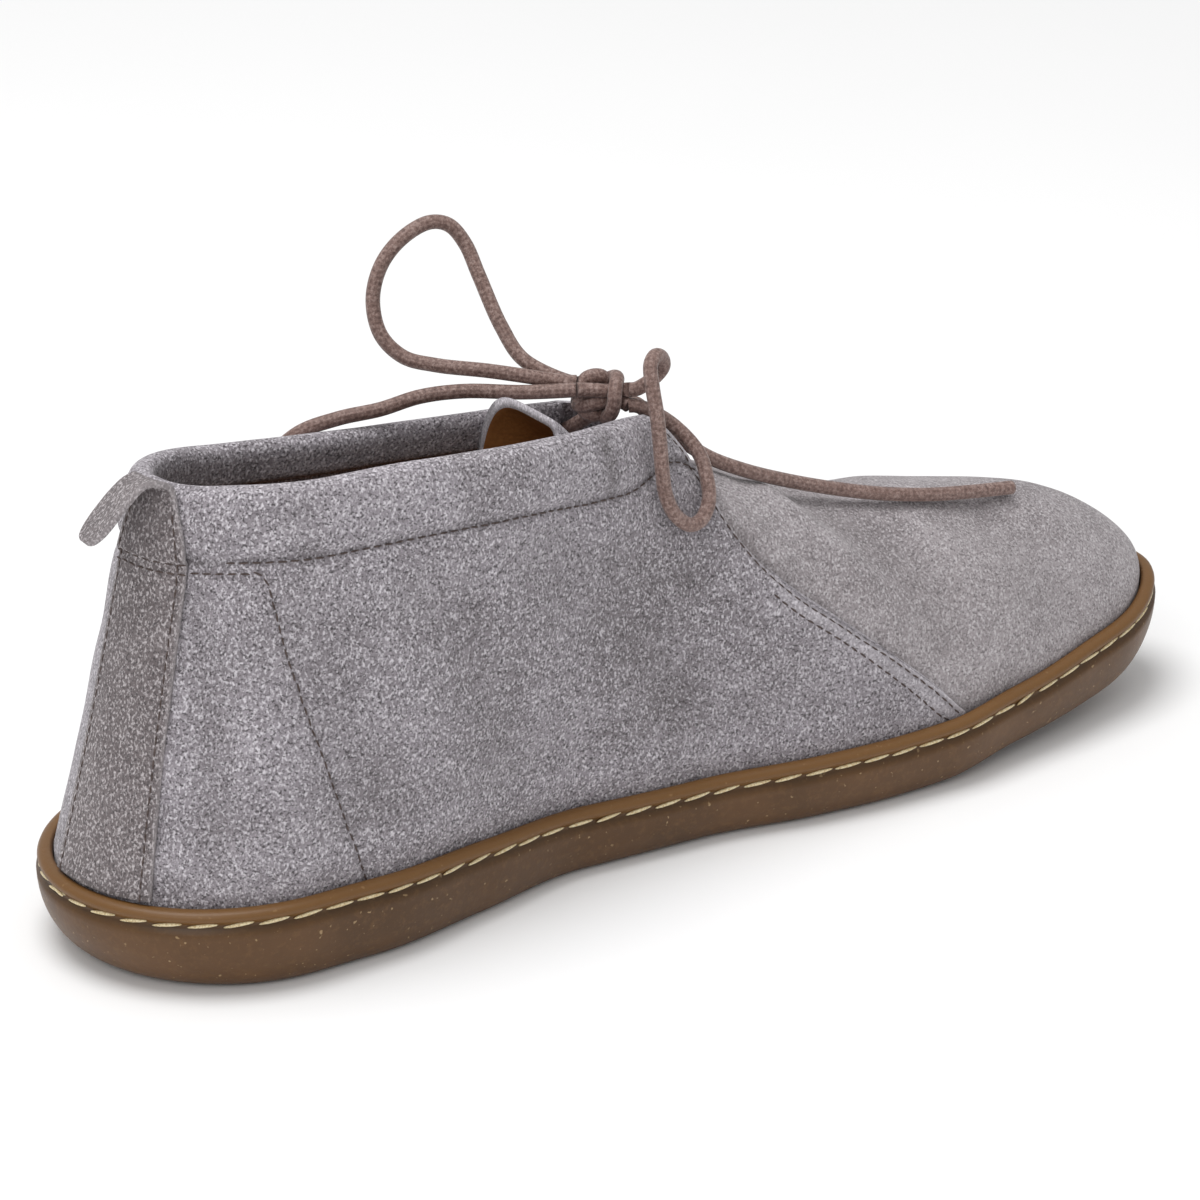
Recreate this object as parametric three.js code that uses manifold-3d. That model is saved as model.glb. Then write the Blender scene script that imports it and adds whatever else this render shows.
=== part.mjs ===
// Lace-up ankle shoe for the left foot, standing empty on its sole. Millimetres, +Z up.
// +X points to the toe and +Y to the outer side of the foot, so the inner side lies towards -Y.
import * as THREE from 'three';
import { mergeVertices } from 'three/addons/utils/BufferGeometryUtils.js';
import Module from 'manifold-3d';

// Driving dimensions of the sole
const LENGTH = 268; // heel back to toe tip at the stitched edge
const HEEL_WIDTH = 73;
const BALL_WIDTH = 88;
const TOE_LEAN = 7; // the toe tip lies this far towards the inner side
const TOE_SPRING = 11; // underside of the toe tip over the floor
const SIDE_HEIGHT = 16; // stitched edge over the underside, at the heel
const SIDE_TUCK = 7; // the side rounds in this far at the underside
const LIP_RISE = 2.6; // top of the lip over the stitched edge
const LIP_INSET = 2.4; // outer edge of the lip's flat top, in from the stitched edge
const CUP_WALL = 3.4; // stitched edge to the inside of the cup
const GROOVE_DEPTH = 0.7; // stitch groove
const GROOVE_HALF = 1.1;
const CUP_FLOOR = 6.5; // rubber under the insole, at the heel
const INSOLE = 3.5; // thickness of the footbed

// Driving dimensions of the upper
const COLLAR_HEIGHT = 98; // top edge over the floor, at the heel
const INSTEP_HEIGHT = 84; // centre ridge over the floor, at the throat
const QUARTER = 2; // wall of quarter and lining
const VAMP = 2; // wall of vamp and lining
const SEAM_SINK = 0.6; // the vamp is pressed this far into the quarter
const SIDE_SWELL = 3; // the quarters stand out this far at half height
const BAND = 13.5; // folded collar band, top edge to its stitched lower edge
const BAND_PUFF = 0.9; // the band stands proud by this much
const BAND_FOLD = 3; // and is this much thicker on its inside
const OUTER_DROP = 8; // the collar is this much lower on the outer side
const TONGUE = 2; // wall of the tongue
const STRIP = 1.3; // thickness of the heel strip
const STRIP_WIDTH = 23; // heel strip across its foot
const STRIP_SHIFT = 8.5; // its middle lies this far to the inner side
const TAB_REACH = 15.2; // the pull tab folds out this far behind the collar
const TAB_FALL = 8.2; // and its end hangs this far under the collar's top edge
const TAB_WIDTH = 11; // pull tab across its end
const TAB_TURN = 0.18; // the tab points this far to the outer side, radians
const TAB_SLANT = 0.15; // and its outer edge hangs lower by this share of its width
const LACE = 3; // diameter of the round lace
const MOUTH_DROP = 0.5; // the lace leaves the band's front end this far under its top, share of BAND
const MOUTH_INSET = 4.5; // and this far in from the outside of the quarter
const KNOT = 10; // diameter of the knot
const KNOT_LENGTH = 10;
const CLEARANCE = 0.3; // between pieces that touch

// How finely the curves are faceted
const STATIONS = 72; // around the sole
const BAR_STEPS = 8; // along each bar of lace
const ROUND_STEPS = 5; // up the rounded side of the sole

// Outline of the stitched edge. at: share of LENGTH from the heel back; inner, outer: half-widths from
// the centre line, shares of the local width; low: underside, share of TOE_SPRING; edge: stitched edge
// over the underside, share of SIDE_HEIGHT; tuck: share of SIDE_TUCK; floor: share of CUP_FLOOR.
const OUTLINE = [
  { at: 0.0, inner: 0.505, outer: 0.486, low: 0, edge: 1.0, tuck: 1.5, floor: 1 },
  { at: 0.12, inner: 0.505, outer: 0.486, low: 0, edge: 1.0, tuck: 1.0, floor: 1 },
  { at: 0.2, inner: 0.5, outer: 0.494, low: 0, edge: 0.98, tuck: 0.9, floor: 1 },
  { at: 0.3, inner: 0.418, outer: 0.489, low: 0, edge: 0.9, tuck: 0.8, floor: 0.95 },
  { at: 0.4, inner: 0.332, outer: 0.49, low: 0, edge: 0.79, tuck: 0.8, floor: 0.85 },
  { at: 0.5, inner: 0.332, outer: 0.511, low: 0, edge: 0.755, tuck: 0.85, floor: 0.77 },
  { at: 0.6, inner: 0.375, outer: 0.551, low: 0, edge: 0.77, tuck: 0.85, floor: 0.75 },
  { at: 0.66, inner: 0.39, outer: 0.568, low: 0, edge: 0.78, tuck: 0.85, floor: 0.75 },
  { at: 0.72, inner: 0.392, outer: 0.56, low: 0.05, edge: 0.78, tuck: 0.85, floor: 0.75 },
  { at: 0.8, inner: 0.365, outer: 0.528, low: 0.25, edge: 0.77, tuck: 0.85, floor: 0.75 },
  { at: 0.88, inner: 0.36, outer: 0.511, low: 0.4, edge: 0.86, tuck: 0.87, floor: 0.75 },
  { at: 0.94, inner: 0.38, outer: 0.5, low: 0.56, edge: 0.9, tuck: 1.0, floor: 0.75 },
  { at: 1.0, inner: 0.39, outer: 0.48, low: 1.0, edge: 0.86, tuck: 1.15, floor: 0.75 },
];
const HEEL_CAP = 0.15; // the heel's round end, share of LENGTH
const TOE_CAP = 0.28; // the toe's round end

// Top edge of the quarters. at: share of LENGTH on the sole; reach: share of LENGTH over it;
// inner, outer: half-widths of the collar, shares of HEEL_WIDTH; rise: share of COLLAR_HEIGHT;
// drop: share of OUTER_DROP; swell: share of SIDE_SWELL.
const COLLAR = [
  { at: 0.0, reach: 0.0875, inner: 0.33, outer: 0.28, rise: 0.992, drop: 0.05, swell: -0.15 },
  { at: 0.06, reach: 0.132, inner: 0.33, outer: 0.28, rise: 1.004, drop: 0.42, swell: 0.3 },
  { at: 0.15, reach: 0.2, inner: 0.33, outer: 0.28, rise: 1.0, drop: 0.8, swell: 0.9 },
  { at: 0.3, reach: 0.315, inner: 0.335, outer: 0.28, rise: 0.985, drop: 1, swell: 1.1 },
  { at: 0.4, reach: 0.4, inner: 0.275, outer: 0.26, rise: 0.955, drop: 0.8, swell: 1.2 },
  { at: 0.5, reach: 0.49, inner: 0.165, outer: 0.16, rise: 0.92, drop: 0.35, swell: 1.2 },
  { at: 0.6, reach: 0.575, inner: 0.08, outer: 0.09, rise: 0.8, drop: 0, swell: 1.2 },
];

// Centre ridge of tongue and vamp. at: share of LENGTH; rise: share of INSTEP_HEIGHT;
// shift: to the inner side, share of HEEL_WIDTH.
const RIDGE = [
  { at: 0.34, rise: 1.27, shift: 0.13 },
  { at: 0.4, rise: 1.186, shift: 0.135 },
  { at: 0.44, rise: 1.08, shift: 0.06 },
  { at: 0.475, rise: 1.01, shift: 0.045 },
  { at: 0.51, rise: 0.955, shift: 0.045 },
  { at: 0.56, rise: 0.885, shift: 0.04 },
  { at: 0.64, rise: 0.77, shift: 0.035 },
  { at: 0.71, rise: 0.695, shift: 0.03 },
  { at: 0.79, rise: 0.65, shift: 0.02 },
  { at: 0.87, rise: 0.61, shift: 0.01 },
  { at: 0.94, rise: 0.57, shift: 0 },
  { at: 1.0, rise: 0.52, shift: 0 },
];

// Arched sections of tongue and vamp. at: share of LENGTH on the sole; reach: share of LENGTH on the
// ridge; inner, outer: how peaked the arch is, 1 an ellipse and less a fuller one.
const ARCH = [
  { at: 0.3, reach: 0.34, inner: 0.8, outer: 0.8 },
  { at: 0.4, reach: 0.4, inner: 0.85, outer: 0.8 },
  { at: 0.5, reach: 0.485, inner: 0.9, outer: 0.8 },
  { at: 0.6, reach: 0.575, inner: 0.95, outer: 0.85 },
  { at: 0.7, reach: 0.66, inner: 1.0, outer: 0.9 },
  { at: 0.8, reach: 0.74, inner: 1.0, outer: 0.95 },
  { at: 0.9, reach: 0.81, inner: 1.05, outer: 1.05 },
  { at: 1.0, reach: 0.85, inner: 1.1, outer: 1.1 },
];

// Front edge of the quarters, from the collar's corner down to the sole. at: share of LENGTH on the
// sole; up: share of the height from the lip to the top.
const SEAM = [
  { at: 0.506, up: 0.997 },
  { at: 0.525, up: 0.985 },
  { at: 0.542, up: 0.95 },
  { at: 0.55, up: 0.88 },
  { at: 0.56, up: 0.805 },
  { at: 0.575, up: 0.725 },
  { at: 0.596, up: 0.655 },
  { at: 0.627, up: 0.565 },
  { at: 0.662, up: 0.44 },
  { at: 0.7, up: 0.255 },
  { at: 0.74, up: 0 },
];
const CORNER = 0.5; // the collar's inner front corner, share of LENGTH on the sole
const CORNER_BACK = 0.03; // the outer one lies further back by this share
const BAND_END = SEAM[0].at - CORNER; // the band thins to the plain wall over this share
const SETTLE = 0.1; // and the upright wall settles onto the vamp's arch over this share
const THROAT = 0.525; // the vamp's top edge on the ridge, share of LENGTH on the sole
const SEAM_LAP = 0.045; // the vamp runs on under the quarters by this share of LENGTH
const TONGUE_TOP = 0.402; // open end of the tongue, share of LENGTH on the sole
const TONGUE_ROOT = 0.585; // its other end, under the vamp
const TONGUE_EDGE = 0.66; // the tongue's sides end this far up the arch
const VAMP_FLUSH = [0.72, 0.8]; // in front of the seam the vamp comes out to the lip

const clamp = (value) => Math.min(Math.max(value, 0), 1);
const mix = (a, b, share) => a + (b - a) * share;
const ease = (from, to, value) => {
  const share = clamp((value - from) / (to - from));
  return share * share * (3 - 2 * share);
};

// Reads a column of a table at any share, smoothly and without overshoot
function read(table, column, at) {
  const last = table.length - 1;
  if (at <= table[0].at) return table[0][column];
  if (at >= table[last].at) return table[last][column];
  let row = 0;
  while (at > table[row + 1].at) row += 1;
  const step = (k) => (table[k + 1][column] - table[k][column]) / (table[k + 1].at - table[k].at);
  const slope = (k) => {
    if (k === 0) return step(0);
    if (k === last) return step(last - 1);
    const before = step(k - 1);
    const after = step(k);
    return before * after <= 0 ? 0 : (2 * before * after) / (before + after);
  };
  const span = table[row + 1].at - table[row].at;
  const u = (at - table[row].at) / span;
  const from = table[row][column];
  const to = table[row + 1][column];
  return (
    from * (1 + 2 * u) * (1 - u) ** 2 +
    to * u * u * (3 - 2 * u) +
    span * slope(row) * u * (1 - u) ** 2 -
    span * slope(row + 1) * u * u * (1 - u)
  );
}

// Places around the sole: turn 0 is the heel back, 0.5 the toe tip, the inner side comes first
const shareAt = (turn) => (1 - Math.cos(2 * Math.PI * turn)) / 2;
const turnAt = (share, outer) => {
  const turn = Math.acos(1 - 2 * clamp(share)) / (2 * Math.PI);
  return outer ? 1 - turn : turn;
};
const isOuter = (turn) => turn > 0.5;
const localWidth = (at) => mix(HEEL_WIDTH, BALL_WIDTH, ease(0.15, 0.6, at));
const centreLine = (at) => -TOE_LEAN * at * at;
const endCap = (at) => {
  const heel = at < HEEL_CAP ? 1 - at / HEEL_CAP : 0;
  const toe = at > 1 - TOE_CAP ? 1 - (1 - at) / TOE_CAP : 0;
  return Math.sqrt(Math.max(0, 1 - heel * heel)) * Math.sqrt(Math.max(0, 1 - toe * toe));
};

function stitchedEdge(turn) {
  const at = shareAt(turn);
  const outer = isOuter(turn);
  const half = read(OUTLINE, outer ? 'outer' : 'inner', at) * localWidth(at) * endCap(at);
  return new THREE.Vector2(LENGTH * at, centreLine(at) + (outer ? half : -half));
}

function outward(turn) {
  const near = 0.0005;
  const wrap = (value) => ((value % 1) + 1) % 1;
  const along = stitchedEdge(wrap(turn + near)).sub(stitchedEdge(wrap(turn - near))).normalize();
  return new THREE.Vector2(along.y, -along.x);
}

const edgePoint = (turn, inset) => stitchedEdge(turn).sub(outward(turn).multiplyScalar(inset));
const underside = (at) => read(OUTLINE, 'low', at) * TOE_SPRING;
const stitchHeight = (at) => underside(at) + read(OUTLINE, 'edge', at) * SIDE_HEIGHT;
const lipHeight = (at) => stitchHeight(at) + LIP_RISE;
const cupFloor = (at) => underside(at) + read(OUTLINE, 'floor', at) * CUP_FLOOR;
const ridgeHeight = (at) => read(RIDGE, 'rise', at) * INSTEP_HEIGHT;
const ridgeLine = (at) => centreLine(at) - read(RIDGE, 'shift', at) * HEEL_WIDTH;

// The foot of the upper: just inside the cup, a further inset moves it inwards
const footPoint = (turn, inset) => edgePoint(turn, CUP_WALL + CLEARANCE + inset);

// Arched skin of tongue and vamp. up: 0 at the lip, 1 on the ridge; wide, full: shape of a gathered arch
function archPoint(turn, up, inset, { wide = 1, full = 1 } = {}) {
  const at = shareAt(turn);
  const foot = footPoint(turn, inset);
  const peaked = read(ARCH, isOuter(turn) ? 'outer' : 'inner', at) * full;
  const across = 1 - (1 - up * up) ** (peaked / 2);
  const x = mix(foot.x, read(ARCH, 'reach', at) * LENGTH, across);
  const here = x / LENGTH;
  const half = (foot.y - ridgeLine(foot.x / LENGTH)) * (1 - across) * wide;
  const y = ridgeLine(here) + half;
  const z = mix(lipHeight(at), ridgeHeight(here) - inset, up);
  return new THREE.Vector3(x, y, z);
}

// Upright skin of the quarters. up: 0 at the lip, 1 at the collar's top edge
function wallPoint(turn, up, inset) {
  const at = shareAt(turn);
  const outer = isOuter(turn);
  const foot = footPoint(turn, inset);
  const reach = read(COLLAR, 'reach', at) * LENGTH;
  const half = read(COLLAR, outer ? 'outer' : 'inner', at) * HEEL_WIDTH * endCap(at);
  const away = outward(turn);
  const topX = reach - away.x * inset;
  const topY = centreLine(reach / LENGTH) + (outer ? half : -half) - away.y * inset;
  const swell = read(COLLAR, 'swell', at) * SIDE_SWELL * Math.sin(Math.PI * up);
  const drop = outer ? read(COLLAR, 'drop', at) * OUTER_DROP : 0;
  return new THREE.Vector3(
    mix(foot.x, topX, up) + away.x * swell,
    mix(foot.y, topY, up) + away.y * swell,
    mix(lipHeight(at), read(COLLAR, 'rise', at) * COLLAR_HEIGHT - drop, up),
  );
}

// The quarters stand upright as far as the corner, then settle on the arch of the vamp
function quarterPoint(turn, up, inset) {
  const settled = ease(CORNER, CORNER + SETTLE, shareAt(turn));
  return wallPoint(turn, up, inset).lerp(archPoint(turn, up, inset), settled);
}

// Collects triangles, then closes them into one outward-facing body
function closedGeometry(vertices, triangles) {
  const raw = new THREE.BufferGeometry();
  const flat = vertices.flatMap((p) => [p.x, p.y, p.z]);
  raw.setAttribute('position', new THREE.Float32BufferAttribute(flat, 3));
  raw.setIndex(triangles.flat());
  const merged = mergeVertices(raw, 1e-4);
  const index = merged.index.array;
  const position = merged.attributes.position;
  const kept = [];
  let volume = 0;
  const corner = (k) => new THREE.Vector3().fromBufferAttribute(position, k);
  for (let k = 0; k < index.length; k += 3) {
    const [a, b, c] = [index[k], index[k + 1], index[k + 2]];
    if (a === b || b === c || c === a) continue;
    kept.push([a, b, c]);
    volume += corner(a).dot(corner(b).cross(corner(c)));
  }
  const facing = volume < 0 ? kept.map(([a, b, c]) => [a, c, b]) : kept;
  merged.setIndex(facing.flat());
  return merged;
}

// A curved wall between two grids of points, outside[column][row] and inside[column][row]
function wallGeometry(outside, inside, { foldedEnd = false } = {}) {
  const vertices = [...outside.flat(), ...inside.flat()];
  const columns = outside.length;
  const rows = outside[0].length;
  const out = (c, r) => c * rows + r;
  const inn = (c, r) => (columns + c) * rows + r;
  const triangles = [];
  const quad = (a, b, c, d) => triangles.push([a, b, c], [a, c, d]);
  for (let c = 0; c < columns - 1; c += 1) {
    for (let r = 0; r < rows - 1; r += 1) {
      quad(out(c, r), out(c + 1, r), out(c + 1, r + 1), out(c, r + 1));
      quad(inn(c, r), inn(c, r + 1), inn(c + 1, r + 1), inn(c + 1, r));
    }
    quad(out(c, 0), inn(c, 0), inn(c + 1, 0), out(c + 1, 0));
    quad(out(c, rows - 1), out(c + 1, rows - 1), inn(c + 1, rows - 1), inn(c, rows - 1));
  }
  const close = (c, flip) => {
    for (let r = 0; r < rows - 1; r += 1) {
      const ring = [out(c, r), out(c, r + 1), inn(c, r + 1), inn(c, r)];
      if (flip) ring.reverse();
      quad(...ring);
    }
  };
  close(0, false);
  if (!foldedEnd) close(columns - 1, true);
  return closedGeometry(vertices, triangles);
}

// A solid with a ring of columns around the sole, closed across under its first and over its last row
function ringGeometry(columnAt) {
  const columns = [];
  for (let i = 0; i < STATIONS; i += 1) columns.push(columnAt(i / STATIONS));
  const rows = columns[0].length;
  const id = (c, r) => (c % STATIONS) * rows + r;
  const triangles = [];
  const quad = (a, b, c, d) => triangles.push([a, b, c], [a, c, d]);
  for (let c = 0; c < STATIONS; c += 1) {
    for (let r = 0; r < rows - 1; r += 1) quad(id(c, r), id(c + 1, r), id(c + 1, r + 1), id(c, r + 1));
  }
  for (let c = 0; c < STATIONS / 2; c += 1) {
    const far = STATIONS - c;
    quad(id(c, 0), id(far, 0), id(far - 1, 0), id(c + 1, 0));
    quad(id(c, rows - 1), id(c + 1, rows - 1), id(far - 1, rows - 1), id(far, rows - 1));
  }
  return closedGeometry(columns.flat(), triangles);
}

function soleColumn(turn) {
  const at = shareAt(turn);
  const low = underside(at);
  const edge = stitchHeight(at);
  const belowGroove = edge - GROOVE_HALF;
  const tuck = read(OUTLINE, 'tuck', at) * SIDE_TUCK;
  const rows = [];
  for (let k = 0; k <= ROUND_STEPS; k += 1) {
    const angle = ((k / ROUND_STEPS) * Math.PI) / 2;
    rows.push([tuck * (1 - Math.sin(angle)), mix(belowGroove, low, Math.cos(angle))]);
  }
  rows.push([GROOVE_DEPTH, edge]);
  rows.push([GROOVE_DEPTH / 2, edge + GROOVE_HALF]);
  rows.push([LIP_INSET, edge + LIP_RISE]);
  rows.push([CUP_WALL, edge + LIP_RISE]);
  rows.push([CUP_WALL, cupFloor(at)]);
  return rows.map(([inset, z]) => {
    const p = edgePoint(turn, inset);
    return new THREE.Vector3(p.x, p.y, z);
  });
}

function insoleColumn(turn) {
  const at = shareAt(turn);
  const base = cupFloor(at) + CLEARANCE;
  const p = footPoint(turn, QUARTER + VAMP - SEAM_SINK + CLEARANCE);
  return [base, base + INSOLE].map((z) => new THREE.Vector3(p.x, p.y, z));
}

// Rows of the quarters' wall below the band: shares of the height under the band
const WALL_ROWS = [0, 0.08, 0.2, 0.36, 0.52, 0.68, 0.84];
// Rows of the band, from its lower edge up. below: share of BAND under the top edge; puff: share of
// BAND_PUFF on the outside; fold: share of BAND_FOLD on the inside.
const BAND_ROWS = [
  { below: 1, puff: 0, fold: 0 },
  { below: 0.95, puff: 0.8, fold: 0 },
  { below: 0.74, puff: 1, fold: 0.1 },
  { below: 0.7, puff: 1, fold: 1 },
  { below: 0.3, puff: 0.9, fold: 1 },
  { below: 0.08, puff: 0.3, fold: 0.8 },
  { below: 0, puff: -0.9, fold: 0.25 },
];

const cornerShare = (outer) => (outer ? CORNER - CORNER_BACK : CORNER);

function quarterColumn(turn, top) {
  const at = shareAt(turn);
  const height = read(COLLAR, 'rise', at) * COLLAR_HEIGHT - lipHeight(at);
  const corner = cornerShare(isOuter(turn));
  const banded = 1 - ease(corner, corner + BAND_END, at);
  const band = Math.min(BAND / height, top / 2);
  const outside = [];
  const inside = [];
  const base = cupFloor(at) + CLEARANCE;
  const foot = (inset) => {
    const p = footPoint(turn, inset);
    return new THREE.Vector3(p.x, p.y, base);
  };
  outside.push(foot(0));
  inside.push(foot(QUARTER));
  for (const share of WALL_ROWS) {
    outside.push(quarterPoint(turn, share * (top - band), 0));
    inside.push(quarterPoint(turn, share * (top - band), QUARTER));
  }
  for (const { below, puff, fold } of BAND_ROWS) {
    const up = top - below * band;
    outside.push(quarterPoint(turn, up, -puff * BAND_PUFF * banded));
    inside.push(quarterPoint(turn, up, QUARTER + fold * BAND_FOLD * banded));
  }
  return { outside, inside };
}

function quarterGeometry() {
  const columns = [];
  const front = [...SEAM].reverse();
  for (const { at, up } of front) columns.push(quarterColumn(turnAt(at, false), up));
  const innerCorner = turnAt(cornerShare(false), false) * STATIONS;
  const outerCorner = turnAt(cornerShare(true), false) * STATIONS;
  columns.push(quarterColumn(innerCorner / STATIONS, 1));
  for (let i = Math.ceil(innerCorner - 0.5) - 1; i > 0.5 - outerCorner; i -= 1) {
    columns.push(quarterColumn(((i + STATIONS) % STATIONS) / STATIONS, 1));
  }
  columns.push(quarterColumn(1 - outerCorner / STATIONS, 1));
  for (const { at, up } of SEAM) columns.push(quarterColumn(turnAt(at - CORNER_BACK * up, true), up));
  return wallGeometry(columns.map((c) => c.outside), columns.map((c) => c.inside));
}

// The vamp: arches from foot to foot, from under the quarters to the toe tip
const VAMP_COLUMNS = 14;
const ARCH_ROWS = [0, 0.1, 0.22, 0.36, 0.5, 0.64, 0.77, 0.87, 0.945, 0.985, 1];
const THROAT_UP = 0.86; // above this share of the arch the vamp's edge crosses over to the throat
const vampStart = (up) =>
  mix(seamShare(Math.min(up, THROAT_UP)) - SEAM_LAP, THROAT, ease(THROAT_UP, 1, up));
function seamShare(up) {
  const rows = [{ at: CORNER, up: 1 }, ...SEAM];
  const k = rows.findIndex((row) => row.up <= up);
  if (k <= 0) return CORNER;
  const [high, low] = [rows[k - 1], rows[k]];
  return mix(low.at, high.at, (up - low.up) / (high.up - low.up));
}

function vampArch(share, wall) {
  const half = (outer) => {
    const points = ARCH_ROWS.map((up) => {
      const at = mix(vampStart(up), 1, share);
      const sunk = (QUARTER - SEAM_SINK) * (1 - ease(...VAMP_FLUSH, at));
      return archPoint(turnAt(at, outer), up, sunk + wall);
    });
    const at = mix(vampStart(0), 1, share);
    const sunk = (QUARTER - SEAM_SINK) * (1 - ease(...VAMP_FLUSH, at));
    const p = footPoint(turnAt(at, outer), sunk + wall);
    return [new THREE.Vector3(p.x, p.y, cupFloor(at) + CLEARANCE), ...points];
  };
  return [...half(false), ...half(true).reverse().slice(1)];
}

function vampGeometry() {
  const shares = [];
  for (let c = 0; c <= VAMP_COLUMNS; c += 1) shares.push(Math.sin(((c / VAMP_COLUMNS) * Math.PI) / 2));
  return wallGeometry(
    shares.map((share) => vampArch(share, 0)),
    shares.map((share) => vampArch(share, VAMP)),
    { foldedEnd: true },
  );
}

// The tongue: arches from its open end to its root, gathered between the collar's corners
const TONGUE_COLUMNS = 10;
// The tongue is gathered between the collar's corners and spreads under the vamp. at: 0 at its open end,
// 1 at its root; wide: width, share of the vamp's arch; full: share of the arch's peakedness.
const GATHER = [
  { at: 0, wide: 0.76, full: 0.5 },
  { at: 0.16, wide: 0.62, full: 0.58 },
  { at: 0.36, wide: 0.53, full: 0.7 },
  { at: 0.68, wide: 0.72, full: 0.84 },
  { at: 1, wide: 1, full: 1 },
];
const TONGUE_ROWS = [0, 0.2, 0.42, 0.62, 0.79, 0.91, 1];

function tongueArch(share, wall) {
  const half = (outer) => TONGUE_ROWS.map((row) => {
    const up = mix(TONGUE_EDGE, 1, Math.sin((row * Math.PI) / 2));
    const at = mix(TONGUE_TOP, TONGUE_ROOT, share);
    const sunk = QUARTER - SEAM_SINK + VAMP + 2 * CLEARANCE;
    const shape = { wide: read(GATHER, 'wide', share), full: read(GATHER, 'full', share) };
    return archPoint(turnAt(at, outer), up, sunk + wall, shape);
  });
  return [...half(false), ...half(true).reverse().slice(1)];
}

function tongueGeometry() {
  const outside = [];
  const inside = [];
  for (let c = 0; c <= TONGUE_COLUMNS; c += 1) {
    outside.push(tongueArch(c / TONGUE_COLUMNS, 0));
    inside.push(tongueArch(c / TONGUE_COLUMNS, TONGUE));
  }
  return wallGeometry(outside, inside);
}

// The heel strip lies on the quarters from the lip to the collar, then curls out as the pull tab.
// up: share of the height; width: share of STRIP_WIDTH.
const STRIP_ROWS = [
  { up: 0.012, width: 1 },
  { up: 0.2, width: 0.95 },
  { up: 0.4, width: 0.91 },
  { up: 0.6, width: 0.89 },
  { up: 0.78, width: 0.88 },
  { up: 0.85, width: 0.84 },
  { up: 0.93, width: 0.67 },
  { up: 1, width: 0.47 },
];
// The tab's fold and fall. back: share of TAB_REACH; rise: share of TAB_FALL, over the collar's top edge;
// narrow: from the strip's top width, 0, to TAB_WIDTH, 1; round: share of that width at the round end.
const TAB_ROWS = [
  { back: 0.026, rise: 0.171, narrow: 0.1, round: 1 },
  { back: 0.092, rise: 0.305, narrow: 0.25, round: 1 },
  { back: 0.197, rise: 0.354, narrow: 0.42, round: 1 },
  { back: 0.322, rise: 0.268, narrow: 0.6, round: 1 },
  { back: 0.454, rise: 0.073, narrow: 0.8, round: 1 },
  { back: 0.586, rise: -0.171, narrow: 0.95, round: 1 },
  { back: 0.711, rise: -0.427, narrow: 1, round: 1 },
  { back: 0.822, rise: -0.659, narrow: 1, round: 0.96 },
  { back: 0.914, rise: -0.841, narrow: 1, round: 0.8 },
  { back: 0.974, rise: -0.951, narrow: 1, round: 0.55 },
  { back: 1, rise: -1, narrow: 1, round: 0.2 },
];
const TAB_STRAIGHT = 0.5; // the tab is flat across once it has narrowed by this share
const STRIP_COLUMNS = 10;

const footHalfWidth = (turn) => Math.abs(footPoint(turn, 0).y - centreLine(0));
// The turn at which the foot of the upper is this far from the centre line
function turnAcross(distance) {
  let [low, high] = [0, turnAt(HEEL_CAP, false)];
  for (let k = 0; k < 24; k += 1) {
    const middle = (low + high) / 2;
    if (footHalfWidth(middle) < distance) low = middle;
    else high = middle;
  }
  return (low + high) / 2;
}

// The strip lies on the band, which stands proud
const PUFF_EDGE = 0.92; // the band's puff is reached at this share of BAND under the top edge
function bandPuff(up, height) {
  const below = ((1 - up) * height) / BAND;
  return BAND_PUFF * ease(1, PUFF_EDGE, below);
}

function stripPoint(across, up, width, lift) {
  const side = (across * width * STRIP_WIDTH) / 2 - STRIP_SHIFT;
  const turn = turnAcross(Math.abs(side));
  const wrapped = side < 0 ? turn : (1 - turn) % 1;
  const height = COLLAR[0].rise * COLLAR_HEIGHT - lipHeight(0);
  return quarterPoint(wrapped, up, -bandPuff(up, height) - CLEARANCE - lift);
}

function stripGrid(lift) {
  const columns = [];
  for (let c = 0; c <= STRIP_COLUMNS; c += 1) {
    const across = (2 * c) / STRIP_COLUMNS - 1;
    const points = STRIP_ROWS.map(({ up, width }) => stripPoint(across, up, width, lift));
    const { up, width } = STRIP_ROWS[STRIP_ROWS.length - 1];
    columns.push({ across, points, top: stripPoint(across, up, width, 0) });
  }
  const middle = columns[STRIP_COLUMNS / 2].top;
  const widest = columns[STRIP_COLUMNS].top.y - columns[0].top.y;
  TAB_ROWS.forEach(({ back, rise, narrow, round }, k) => {
    const next = TAB_ROWS[Math.min(k + 1, TAB_ROWS.length - 1)];
    const before = k === 0 ? { back: 0, rise: 0 } : TAB_ROWS[k - 1];
    const run = new THREE.Vector2((next.back - before.back) * TAB_REACH, (next.rise - before.rise) * TAB_FALL);
    run.normalize();
    const straight = ease(0, TAB_STRAIGHT, narrow);
    const turn = TAB_TURN * straight;
    for (const column of columns) {
      const half = (column.across * mix(widest, TAB_WIDTH, narrow) * round) / 2;
      const out = back * TAB_REACH + run.y * lift;
      const x = mix(column.top.x, middle.x, straight) - Math.cos(TAB_TURN) * out + Math.sin(turn) * half;
      const y = middle.y + Math.sin(TAB_TURN) * out + Math.cos(turn) * half;
      const z = mix(column.top.z, middle.z, straight) + rise * TAB_FALL - run.x * lift - TAB_SLANT * straight * half;
      column.points.push(new THREE.Vector3(x, y, z));
    }
  });
  return columns.map((column) => column.points);
}

const stripGeometry = () => wallGeometry(stripGrid(STRIP), stripGrid(0));

// Solids for joining
const wasm = await Module();
wasm.setup();

function toSolid(geometry) {
  const mesh = new wasm.Mesh({
    numProp: 3,
    vertProperties: new Float32Array(geometry.attributes.position.array),
    triVerts: new Uint32Array(geometry.index.array),
  });
  return new wasm.Manifold(mesh);
}

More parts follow.
